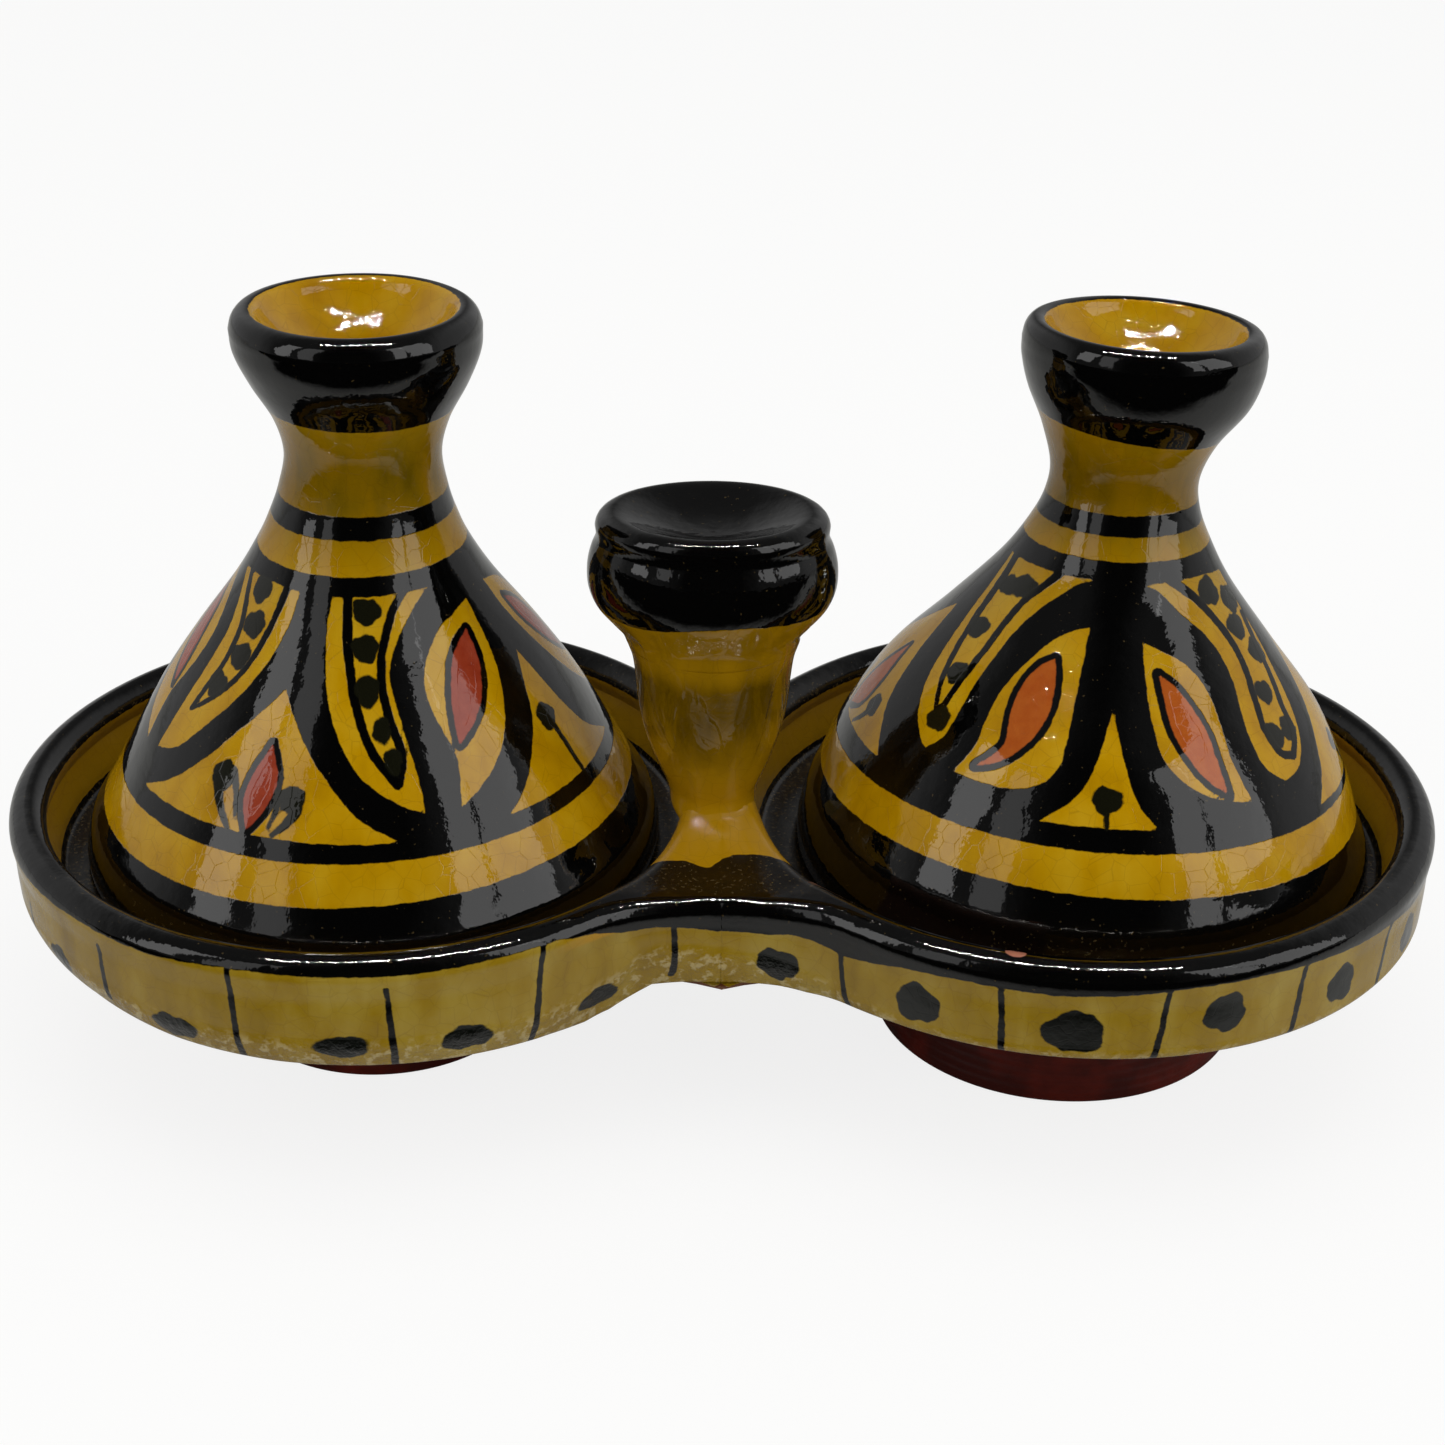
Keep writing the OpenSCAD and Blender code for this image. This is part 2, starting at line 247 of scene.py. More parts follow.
def makeGlaze(name, look):
    # the painted distances choose the slip colour, noise varies it, and one clear coat covers all
    material, tree = newMaterial(name)
    place = addNode(tree, "ShaderNodeTexCoord").outputs["Object"]

    def noise(size, detail=3.0, roughness=0.5):
        # size is the width of a blotch in millimetres
        return addNode(tree, "ShaderNodeTexNoise", {},
                       {"Vector": place, "Scale": 1000.0 / size, "Detail": detail,
                        "Roughness": roughness}).outputs["Fac"]

    broad, blotch = noise(look["broad"]), noise(look["blotch"], 4)
    grain, brush = noise(look["grain"], 2), noise(look["brush"], 4, 0.6)
    # glaze runs downwards: a noise stretched three times in height
    hanging = addNode(tree, "ShaderNodeMapping", {},
                      {"Vector": place, "Scale": (1.0, 1.0, 0.33)}).outputs[0]
    runs = addNode(tree, "ShaderNodeTexNoise", {},
                   {"Vector": hanging, "Scale": 1000.0 / look["runs"], "Detail": 4.0}).outputs["Fac"]
    yellowMask = edgeMask(tree, "yellowPaint", brush, 0.5, 0.10)
    redMask = edgeMask(tree, "redPaint", brush, 0.5, 0.12)
    darkMask = edgeMask(tree, "darkPaint", brush, 0.6, 0.14)
    bareMask = edgeMask(tree, "bareClay", brush, 0.8, 0.3)
    depthAndShade = addNode(tree, "ShaderNodeAttribute", {"attribute_name": "glazeDepthAndShade"}).outputs["Fac"]

    cracks = addNode(tree, "ShaderNodeTexVoronoi", {"feature": "DISTANCE_TO_EDGE"},
                     {"Vector": place, "Scale": 1000.0 / look["crackCell"],
                      "Randomness": 1.0}).outputs["Distance"]
    crackLine = addNode(tree, "ShaderNodeMapRange", {},
                        {"Value": cracks, "From Min": 0.0, "To Min": 1.0, "To Max": 0.0,
                         "From Max": look["crackWidth"] / look["crackCell"]}).outputs[0]
    crackLine = addNode(tree, "ShaderNodeMath", {"operation": "MULTIPLY"},
                        {0: crackLine, 1: yellowMask}).outputs[0]

    tone = addNode(tree, "ShaderNodeMath", {"operation": "MULTIPLY_ADD"},
                   {0: broad, 1: 0.4, 2: 0.0}).outputs[0]
    tone = addNode(tree, "ShaderNodeMath", {"operation": "MULTIPLY_ADD"},
                   {0: runs, 1: 0.6, 2: tone}).outputs[0]
    yellow = addNode(tree, "ShaderNodeValToRGB", {}, {"Fac": tone})
    stops = yellow.color_ramp.elements
    stops[0].position, stops[0].color = 0.26, toLinear(look["yellowDeep"])
    stops[1].position, stops[1].color = 0.74, toLinear(look["yellowPale"])
    middle = stops.new(0.5)
    middle.color = toLinear(look["yellow"])
    warmth = addNode(tree, "ShaderNodeAttribute", {"attribute_name": "warmYellow"}).outputs["Fac"]
    yellowColour = mixColours(tree, warmth, yellow.outputs[0], toLinear(look["warm"]))
    # thick glaze darkens the yellow towards the pooled colour; on the stem this darkening is partly
    # painted shade under the knob
    thickAndShade = addNode(tree, "ShaderNodeMapRange", {},
                    {"Value": runs, "From Min": 0.3, "From Max": 0.7, "To Min": 0.72, "To Max": 1.2})
    thickAndShade = addNode(tree, "ShaderNodeMath", {"operation": "MULTIPLY", "use_clamp": True},
                    {0: depthAndShade, 1: thickAndShade.outputs[0]}).outputs[0]
    yellowColour = mixColours(tree, thickAndShade, yellowColour, toLinear(look["pooledAndShade"]), "MULTIPLY")
    faint = addNode(tree, "ShaderNodeMath", {"operation": "MULTIPLY"},
                    {0: crackLine, 1: 0.22}).outputs[0]
    yellowColour = mixColours(tree, faint, yellowColour, toLinear("#5A3A08"))
    # along the hem the glaze draws off the edge and shows paler, rough flecks; the pale flecks are partly
    # thin glaze and partly painted glints
    wearAndGlint = addNode(tree, "ShaderNodeAttribute", {"attribute_name": "hemWearAndGlint"}).outputs["Fac"]
    flecksAndGlints = addNode(tree, "ShaderNodeMapRange", {"interpolation_type": "SMOOTHSTEP"},
                     {"Value": brush, "From Min": 0.5, "From Max": 0.62, "To Max": 0.6}).outputs[0]
    flecksAndGlints = addNode(tree, "ShaderNodeMath", {"operation": "MULTIPLY"}, {0: flecksAndGlints, 1: wearAndGlint}).outputs[0]
    yellowColour = mixColours(tree, flecksAndGlints, yellowColour, toLinear(look["fleckAndGlint"]))

    # black slip lies thin on grit: small brown specks, many where the thinBlack field is high
    thin = addNode(tree, "ShaderNodeAttribute", {"attribute_name": "thinBlack"}).outputs["Fac"]
    grit = noise(look["grit"], 1)
    specks = addNode(tree, "ShaderNodeMath", {"operation": "MULTIPLY_ADD"},
                     {0: thin, 1: 0.17, 2: grit}).outputs[0]
    specks = addNode(tree, "ShaderNodeMapRange", {"interpolation_type": "SMOOTHSTEP"},
                     {"Value": specks, "From Min": 0.73, "From Max": 0.79}).outputs[0]
    blackColour = mixColours(tree, thin, toLinear(look["black"]), toLinear(look["blackThin"]))
    blackColour = mixColours(tree, specks, blackColour, toLinear(look["speck"]))
    redColour = mixColours(tree, brush, toLinear(look["red"]), toLinear(look["redPale"]))
    colour = mixColours(tree, yellowMask, blackColour, yellowColour)
    colour = mixColours(tree, redMask, colour, redColour)
    colour = mixColours(tree, darkMask, colour, toLinear(look["dark"]))
    colour = mixColours(tree, bareMask, colour, toLinear(look["bare"]))

    # glaze surface: soft waves 5 mm across, pinholes, crazing and the step at a brushed edge
    waves = addNode(tree, "ShaderNodeMath", {"operation": "MULTIPLY_ADD"},
                    {0: blotch, 1: look["waves"], 2: 0.0}).outputs[0]
    waves = addNode(tree, "ShaderNodeMath", {"operation": "MULTIPLY_ADD"},
                    {0: grain, 1: 0.02, 2: waves}).outputs[0]
    waves = addNode(tree, "ShaderNodeMath", {"operation": "MULTIPLY_ADD"},
                    {0: yellowMask, 1: -0.12, 2: waves}).outputs[0]
    waves = addNode(tree, "ShaderNodeMath", {"operation": "MULTIPLY_ADD"},
                    {0: crackLine, 1: -0.06, 2: waves}).outputs[0]
    wearAndGlint = addNode(tree, "ShaderNodeMath", {"operation": "MULTIPLY"}, {0: wearAndGlint, 1: brush}).outputs[0]
    waves = addNode(tree, "ShaderNodeMath", {"operation": "MULTIPLY_ADD"},
                    {0: wearAndGlint, 1: 4.5, 2: waves}).outputs[0]
    # thick glaze sets in sheets with a soft edge, stretched downwards
    sheets = addNode(tree, "ShaderNodeTexNoise", {},
                     {"Vector": hanging, "Scale": 1000.0 / look["sheets"], "Detail": 1.0,
                      "Distortion": 1.4}).outputs["Fac"]
    sheets = addNode(tree, "ShaderNodeMapRange", {"interpolation_type": "SMOOTHSTEP"},
                     {"Value": sheets, "From Min": 0.44, "From Max": 0.55}).outputs[0]
    for share in (depthAndShade, warmth, yellowMask):
        sheets = addNode(tree, "ShaderNodeMath", {"operation": "MULTIPLY"},
                         {0: sheets, 1: share}).outputs[0]
    waves = addNode(tree, "ShaderNodeMath", {"operation": "MULTIPLY_ADD"},
                    {0: sheets, 1: 1.4, 2: waves}).outputs[0]
    bump = addNode(tree, "ShaderNodeBump", {},
                   {"Strength": 1.0, "Distance": 0.00012, "Height": waves}).outputs[0]
    shine = addNode(tree, "ShaderNodeMapRange", {},
                    {"Value": grain, "From Min": 0.3, "From Max": 0.8, "To Min": look["polished"],
                     "To Max": look["dull"]}).outputs[0]
    shine = addNode(tree, "ShaderNodeMath", {"operation": "MULTIPLY_ADD"},
                    {0: bareMask, 1: 0.5, 2: shine}).outputs[0]
    shine = addNode(tree, "ShaderNodeMath", {"operation": "MULTIPLY_ADD"},
                    {0: thin, 1: 0.22, 2: shine}).outputs[0]
    shader = addNode(tree, "ShaderNodeBsdfPrincipled", {},
                     {"Base Color": colour, "Roughness": shine, "Normal": bump, "IOR": 1.52})
    addNode(tree, "ShaderNodeOutputMaterial", {}, {"Surface": shader.outputs[0]})
    return material


redPaintedGlaze = makeGlaze("redPaintedLeadGlaze", lidGlazeLook)
orangePaintedGlaze = makeGlaze("orangePaintedLeadGlaze", orangeLidGlazeLook)
ochreGlaze = makeGlaze("ochreLeadGlaze", dishGlazeLook)
print("materials ready")


def lidPlace(theta, height, radius, shape):
    # ring of a radius about the centre line at that height, turned by the lean there
    shiftX, shiftY = atHeight(shape["centre"], height, 1), atHeight(shape["centre"], height, 2)
    leanX, leanY = (np.radians(atHeight(shape["lean"], height, k)) for k in (1, 2))
    up = np.stack([np.sin(leanX), np.sin(leanY), np.cos(leanX) * np.cos(leanY)], -1)
    up /= np.linalg.norm(up, axis=-1)[..., None]
    across = np.array([1.0, 0, 0]) - up * up[..., :1]
    across /= np.linalg.norm(across, axis=-1)[..., None]
    away = np.cross(up, across)
    ring = (radius * np.sin(theta))[..., None] * across - (radius * np.cos(theta))[..., None] * away
    return ring + np.stack([shiftX, shiftY, shape["seat"] + height], -1)


def bandField(canvas, low, high):
    # positive in a band between two edges; each edge is (height, rise towards the right)
    swing = np.sin(np.radians(canvas["u"]))
    above = (canvas["v"] - low[0] - low[1] * swing) * canvas["perV"]
    below = (high[0] + high[1] * swing - canvas["v"]) * canvas["perV"]
    return np.minimum(above, below)


def paintMotifs(canvas, motifs, turns):
    # yellow shapes with dark lines, dots and red petals, repeated round the lid
    yellow = np.full(canvas["u"].shape, -50.0)
    red, dark = yellow.copy(), yellow.copy()
    for turn in turns:
        for motif in motifs:
            first, last = motif["area"][0], motif["area"][-1]
            middle = np.mean([point[0] for point in last[-1:] + first]) + turn
            away = (canvas["u"] - middle + 180) % 360 - 180
            pick = (np.abs(away) < 70) & (canvas["v"] > 14) & (canvas["v"] < 47)
            part = {"u": away[pick] + middle - turn, "v": canvas["v"][pick],
                    "perU": canvas["perU"][pick], "perV": canvas["perV"][pick]}
            field = areaField(part, motif["area"])
            for stroke, widths in motif.get("strokes", ()):
                field = np.minimum(field, -strokeField(part, stroke, widths))
            yellow[pick] = np.maximum(yellow[pick], field)
            for petal in motif.get("red", ()):
                inner = areaField(part, petal)
                red[pick] = np.maximum(red[pick], inner)
                rimmed = np.minimum(inner + 0.9, 0.9 - inner)
                yellow[pick] = np.minimum(yellow[pick], np.where(inner > -4, -rimmed, 50))
            for dot in motif.get("dots", ()):
                dark[pick] = np.maximum(dark[pick], dotField(part, dot))
            for stroke, widths in motif.get("darkStrokes", ()):
                dark[pick] = np.maximum(dark[pick], strokeField(part, stroke, widths))
    return yellow, red, dark


def buildLid(name, shape, drawing):
    # one profile from the hollow underside over the flange, cone and cup, turned about the leaning axis
    outer = joinRuns([(shape["outer"], 0.46)])
    inner = joinRuns([(shape["inner"], 2.3)] + lidFlange)
    cup = joinRuns([(shape["lip"], 0.4), (shape["hollow"], 0.6)])
    profile = np.vstack([inner, outer[1:], cup[1:]])
    rows, first = len(profile), len(inner)
    last = first + len(outer) - 1
    theta = np.linspace(-np.pi, np.pi, shape["columns"], endpoint=False)[None, :]
    height, radius = profile[:, :1], profile[:, 1:]
    gentle = smoothStep((height - 2) / 8) * (radius > 6)
    bumpy = lumps(theta, height, shape["seed"], 0.12) * gentle
    angle = np.broadcast_to(theta, (rows, shape["columns"]))
    level = np.broadcast_to(height, angle.shape)
    rings = lidPlace(angle, level, radius + bumpy, shape)

    # distances are measured on the cone: round it, and up its slope
    rise = np.gradient(profile[:, 0])
    slope = np.abs(np.gradient(profile[:, 1]) / np.where(np.abs(rise) < 1e-3, 1e-3, rise))
    perV = np.clip(np.sqrt(1 + slope ** 2), 1, 2.5)[:, None] + 0 * angle
    canvas = {"u": np.degrees(angle).ravel(), "v": level.ravel(), "perV": perV.ravel(),
              "perU": (np.radians(1) * radius + 0 * angle).ravel()}
    yellow, red, dark = paintMotifs(canvas, drawing["motifs"], (0, 180))
    for low, high in drawing["bands"]:
        yellow = np.maximum(yellow, bandField(canvas, low, high))
    yellow, red, dark = (field.reshape(rows, -1).clip(noPaint, allPaint)
                         for field in (yellow, red, dark))
    cupTop = last + int(np.argmax(profile[last:, 0]))
    inCup = np.arange(rows)[:, None] >= last
    pastLip = np.concatenate([[0], np.cumsum(np.linalg.norm(np.diff(profile, axis=0), axis=1))])
    pastLip = (pastLip - pastLip[cupTop])[:, None] - drawing["cupEdge"]
    yellow = np.where(inCup, np.clip(pastLip + 0 * angle, noPaint, allPaint), yellow)
    inside = np.arange(rows)[:, None] < first - shape["glazedFoot"]
    yellow = np.where(inside, allPaint, yellow)
    outside = np.arange(rows)[:, None] >= first
    hollow = 0.85 * np.exp(-((level - shape["waist"] + 1) / 11.0) ** 2) * outside
    deep = smoothStep((pastLip - 6) / 12) * inCup * 0.3
    worn = 0.5 * smoothStep((9 - level) / 6) * (0.5 + 0.5 * np.sin(3 * angle + shape["seed"]))
    paint = {"yellowPaint": yellow, "redPaint": red, "darkPaint": dark, "bareClay": noPaint,
             "glazeDepthAndShade": np.maximum(hollow, deep) + 0 * angle, "thinBlack": worn}
    poles = [lidPlace(np.zeros(1), profile[[i], 0], np.zeros(1), shape)[0] for i in (0, -1)]
    paint = {field: values if np.isscalar(values) else values[1:-1] for field, values in paint.items()}
    return closedSurface(name, rings[1:-1], poles, paint)


# profiles are (height above the ledge, radius); a drawing is (degrees round to the right, height)
lidFlange = [([(0, 35.5), (0, 39.2)], 1.2), ([(0, 39.2), (0.25, 39.7), (0.8, 39.8)], 0.3)]
leftLidShape = {
    "seat": 27, "seed": 3, "columns": 380, "waist": 58, "glazedFoot": 6,
    "centre": [(0, -48.8, 0), (15, -48.3, 0), (30, -47.9, 0), (45, -47.8, 0), (58, -47.3, 0),
               (66, -47.2, 0), (78, -47.3, 0)],
    "lean": [(0, 0, 0), (45, 2.6, 0), (60, 2, 0), (70, 1.2, 1), (78, 0.5, 1.8)],
    "inner": [(42.5, 0), (42, 3.5), (38, 7.5), (30, 17), (20, 26), (10, 33), (3, 35.5), (0, 35.5)],
    "outer": [(0.8, 39.8), (2.5, 39.8), (6, 38.9), (9, 37.0), (15, 33.6), (23, 29.1), (31, 23.7),
              (39, 17.8), (45, 14.2), (49, 12.4), (53, 11.1), (58, 10.3), (63, 11.5), (68, 14.2),
              (72, 15.9), (75, 16.2)],
    "lip": [(75, 16.2), (76.3, 15.8), (77.2, 15), (77.5, 14), (77.3, 13.1), (76.6, 12.5)],
    "hollow": [(76.6, 12.5), (75.6, 11.9), (73.6, 10.1), (71.6, 7.9), (69.6, 6.4), (67, 4.6),
               (65, 2.6), (64.4, 0)],
}
leftDrawing = {
    "bands": [((10.0, 1.25), (14.8, 1.0)), ((45.8, 0.6), (50.05, 0.55)), ((53.0, 0.45), (65.0, 0.0))],
    "cupEdge": 0.7,
    "motifs": [
        {"area": [[(-69.3, 41.2), (-64, 39.2), (-60, 36.8), (-58.9, 34.4), (-59.3, 30.8),
                   (-60.4, 27.3), (-62, 20.7)],
                  [(-53.3, 22.5), (-46.6, 26.1), (-40, 29.7), (-34.6, 33.2), (-30.6, 36.5),
                   (-28, 40.3), (-27.3, 43.3)],
                  [(-50, 43.2), (-74.6, 42.6)]],
         "strokes": [([(-67.5, 43.4), (-61.3, 41), (-56, 38.9), (-52.2, 36.5), (-51.3, 33.2),
                       (-53, 30.8), (-55.5, 26.9)], (0.45, 0.6)),
                     ([(-35, 43.4), (-36.2, 40.4), (-38, 36.8), (-40.3, 33.8), (-45.3, 30.6),
                       (-52, 27.9), (-55.5, 26.9)], (0.35, 0.62))],
         "dots": [(-50.6, 41.9, 1.9, 1.9), (-46, 38.1, 2.0, 1.9), (-45.3, 34.5, 1.8, 1.9),
                  (-49.5, 30.7, 1.9, 1.9)]},
        {"area": [[(-50.6, 19), (-42.6, 22.5), (-36, 26.1), (-28, 30), (-22, 32.9)],
                  [(-17.3, 30.3), (-10.6, 26.7), (-4, 23.4), (4, 19.6), (12.7, 17.1)],
                  [(-20, 16.9), (-60, 16.3)]],
         "red": [[[(-25, 23.6), (-26, 20.4), (-23.6, 17.1)],
                  [(-19.6, 20.2), (-18.2, 23.6), (-21.6, 27)]]],
         "dots": [(-33.8, 22.3, 1.8, 2.0), (-13.4, 21.6, 1.8, 1.8)],
         "darkStrokes": [([(-35, 22), (-32.6, 19.4), (-28.2, 16.7)], (0.4, 0.95)),
                         ([(-31, 23.2), (-28.4, 20.8), (-26.9, 18.2)], (0.35, 0.65)),
                         ([(-11.8, 21.6), (-12.6, 19.6), (-17, 17.2)], (0.4, 0.95)),
                         ([(-17.2, 21.9), (-17, 20), (-18.2, 18)], (0.3, 0.6))]},
        {"area": [[(-10.6, 40.3), (-9.3, 36.2), (-6.6, 32), (-2, 27.9), (4, 24.3), (12, 21.6),
                   (19.3, 20)],
                  [(18.5, 24.3), (16.5, 28.5), (15, 32), (14, 35), (17.4, 38), (24, 40.6), (32, 42.7),
                   (39.4, 43.9)],
                  [(15, 43.7), (-9.7, 43.4)]],
         "strokes": [([(-2, 43.6), (-1.5, 39.2), (0.3, 35), (2.7, 31.4), (6.7, 27.3), (13.1, 23.4)],
                      (0.6, 0.65)),
                     ([(26, 44), (20, 42.4), (16, 40.3), (12, 37.4), (11, 33.8), (12.7, 30.3),
                       (15, 26.7), (13.4, 23.4)], (0.6, 0.55))],
         "dots": [(6.9, 42, 1.9, 1.8), (5.6, 38, 1.8, 1.9), (5.9, 33.6, 1.6, 2.2),
                  (9.9, 29.4, 1.2, 1.9), (12.4, 26.1, 1.2, 1.8)]},
        {"area": [[(49.4, 40.4), (38.8, 39.2), (30.8, 37.1), (26, 34.4), (26, 31.4), (28, 28.5),
                   (30, 25.5), (28.4, 20)],
                  [(38.8, 23.1), (46.8, 26.7), (53.4, 31.4), (58, 36.2), (59.4, 41.2)]],
         "red": [[[(43.5, 37), (38, 35.2), (34, 32.3), (32.2, 29.5), (31.8, 26.8)],
                  [(38.5, 28.8), (44.6, 31.4), (49.8, 35), (51, 38.2)]]]},
        {"area": [[(89.2, 40.8), (99.8, 39.4), (107.8, 37.1), (112.6, 34.4), (112.6, 31.4),
                   (110.6, 28.5), (108.6, 25.5), (110.2, 20)],
                  [(99.8, 23.1), (91.8, 26.7), (85.2, 31.4), (81, 36.2), (79.2, 41.6)]],
         "red": [[[(95.1, 37), (100.6, 35.2), (104.6, 32.3), (106.4, 29.5), (106.8, 26.8)],
                  [(100.1, 28.8), (94, 31.4), (88.8, 35), (87.6, 38.2)]]]},
        {"area": [[(46.8, 20.1), (53.4, 23.7), (58.8, 26.7), (64, 30.8), (69.2, 33.6)],
                  [(72, 29.7), (74.8, 25.5), (80, 21.3), (90, 18)], [(66, 17.8), (40, 17.6)]],
         "dots": [(64.2, 25.8, 1.85, 2.0)],
         "darkStrokes": [([(65, 25), (66.2, 21), (67.4, 17.6)], (0.4, 0.5))]},
    ],
}
rightLidShape = {
    "seat": 27, "seed": 8, "columns": 380, "waist": 55, "glazedFoot": 6,
    "centre": [(0, 50.4, 0), (15, 51.4, 1), (30, 52.2, 2), (45, 52.8, 3), (58, 53.0, 4),
               (66, 54.0, 4.4), (76, 54.2, 4.8)],
    "lean": [(0, 0, 0), (4, 1.8, 2), (9, 3.5, 4), (20, 4, 4), (50, 4, 4), (60, 4, 4), (68, 3, 4),
             (76, 2, 4.4)],
    "inner": [(40.5, 0), (40, 3.5), (36, 7.5), (29, 17), (20, 26), (10, 33), (3, 35.5), (0, 35.5)],
    "outer": [(0.8, 39.8), (2.5, 39.8), (6, 38.9), (9, 37.6), (15.5, 35), (24, 30), (32.3, 22.7),
              (40.6, 15.7), (46.8, 11.9), (51, 10.2), (55, 9.9), (60, 11.6), (65, 14.5), (69, 15.75),
              (71.6, 15.9)],
    "lip": [(71.6, 15.9), (73.1, 15.6), (74.1, 14.9), (74.4, 14), (74.2, 13.1), (73.4, 12.6)],
    "hollow": [(73.4, 12.6), (72.4, 12), (70.4, 10.2), (68.4, 8), (66.4, 6.4), (64, 4.6), (62.4, 2.6),
               (61.8, 0)],
}
rightDrawing = {
    "bands": [((9.9, 0.4), (15.2, 1.0)), ((46.0, 0.7), (48.85, 0.6)), ((51.5, 0.6), (61.6, -1.0))],
    "cupEdge": 0.7,
    "motifs": [
        {"area": [[(-12.6, 20.7), (-9.3, 23.7), (-7.3, 27.3), (-5.3, 30.4)],
                  [(-3.3, 27.3), (-0.6, 23.7), (2, 20.7), (6.7, 18.1)],
                  [(-6, 17.9), (-19.3, 17.6)]],
         "dots": [(-5.3, 21, 2.1, 1.7)],
         "darkStrokes": [([(-5.2, 20.6), (-5.1, 19.4), (-5, 17.9)], (0.35, 0.35))]},
        {"area": [[(-17.3, 34.4), (-17, 28.5), (-17, 24.3)],
                  [(-20, 21.9), (-26.6, 20.4), (-34.6, 20), (-42, 20.1)],
                  [(-39.3, 23.7), (-40, 26.1), (-40, 29.7), (-37.3, 32.6), (-32, 35.6), (-25.3, 37.4),
                   (-17.5, 38.3)]],
         "red": [[[(-24.8, 32.4), (-23.6, 29.7), (-24.8, 26.9), (-29, 24), (-33.6, 22.3),
                   (-37.4, 21.5)],
                  [(-34, 23.4), (-32.4, 25.1), (-34.2, 27.9), (-34.6, 30.8), (-31.8, 33.2),
                   (-27.3, 34.4)]]]},
        {"area": [[(12, 36.5), (20, 35.3), (25.4, 33.2), (27.4, 30.6), (27.4, 25.5), (28.8, 22.9),
                   (30.8, 20.4)],
                  [(25.4, 20.8), (18.7, 21.7), (12, 23.7), (8, 26.1), (6, 29.7), (5, 33.2),
                   (4.7, 37.4)]],
         "red": [[[(15.4, 32.8), (19.8, 30.4), (22.3, 28.1), (23.1, 25.4), (24.4, 21.6)],
                  [(19.2, 23.4), (14.8, 26), (11.6, 28.8), (10.4, 32), (9.8, 34.2)]]]},
        {"area": [[(-78.6, 38.6), (-74, 34.4), (-70, 30.3), (-65.3, 26.7), (-60, 23.7), (-54.6, 21.6),
                   (-52, 21)],
                  [(-48.9, 23.1), (-48.6, 26.1), (-49.3, 29.7), (-48.6, 32.6), (-47.3, 35.6),
                   (-43.3, 38.3), (-37.3, 40.4), (-29.3, 42.4), (-21.3, 43.4)],
                  [(-50, 43.1), (-83.7, 42.6)]],
         "strokes": [([(-77, 42.8), (-73.3, 39.8), (-70, 36.2), (-66.6, 32.6), (-62.6, 29.1),
                       (-58.6, 26.7), (-54.6, 24.7)], (0.35, 0.9)),
                     ([(-40, 43.3), (-46.6, 41), (-51.3, 39.2), (-53.3, 36.8), (-54, 33.2),
                       (-54.6, 29.1), (-54, 25)], (0.55, 0.6))],
         "dots": [(-66, 39.7, 2.1, 1.5), (-56, 40.4, 2.0, 1.7), (-63.7, 34.4, 2.0, 1.7),
                  (-58, 29.4, 1.7, 1.7), (-53.3, 24.5, 1.9, 1.8)]},
        {"area": [[(13.4, 43), (20, 41.6), (28, 39.5), (34, 38), (38, 35.6), (38.8, 32.6),
                   (36.8, 29.7), (35.8, 26.7), (37.4, 23.7), (42.8, 21.6)],
                  [(49.4, 22.3), (56, 24.9), (61.4, 28.5), (65.4, 32), (69.4, 36.2), (71.2, 39.8),
                   (70, 43.4)],
                  [(40, 44), (4.7, 43.6)]],
         "strokes": [([(22, 44.2), (31.4, 42.7), (38.8, 41), (44.8, 38.6), (47.8, 36.2), (47.4, 33.2),
                       (44.8, 30.3), (42.8, 27.3), (44.8, 24.6), (49.4, 23.7)], (0.6, 0.75)),
                     ([(68.4, 38), (64, 35), (60, 31.4), (56, 28.5), (54.8, 26.1), (49.4, 23.7)],
                      (0.6, 0.7))],
         "dots": [(48, 42, 2.2, 2.0), (64, 40.2, 2.4, 2.0), (56.4, 37.5, 2.2, 1.8),
                  (61, 34.4, 2.1, 1.9), (51, 30.6, 1.9, 1.7), (45.7, 26.4, 1.8, 1.9),
                  (52.8, 26.4, 1.7, 1.8)]},
        {"area": [[(-120, 20.7), (-116, 23.7), (-106, 28), (-96, 31.6), (-87.3, 34.5)],
                  [(-82.7, 30.3), (-78, 26.7), (-73.3, 22.5), (-64.6, 17)],
                  [(-95, 17), (-126, 17.2)]],
         "red": [[[(-92.5, 24), (-95, 20), (-94, 17.6)], [(-86, 19.5), (-84.2, 23.5), (-88, 27.8)]]],
         "dots": [(-78.4, 20.9, 1.8, 1.7), (-103, 21.2, 1.8, 1.7)],
         "darkStrokes": [([(-78.6, 20.6), (-80.4, 18.8), (-83.6, 17.3)], (0.3, 0.7)),
                         ([(-102.6, 20.9), (-100.4, 18.8), (-98, 17.4)], (0.3, 0.7))]},
    ],
}
leftLid = buildLid("leftLid", leftLidShape, leftDrawing)
finishPiece(leftLid, redPaintedGlaze, "left_lid_body",
            ["left_lid", "left_lid_cup"])
rightLid = buildLid("rightLid", rightLidShape, rightDrawing)
finishPiece(rightLid, orangePaintedGlaze, "right_lid_body",
            ["right_lid", "right_lid_cup"])


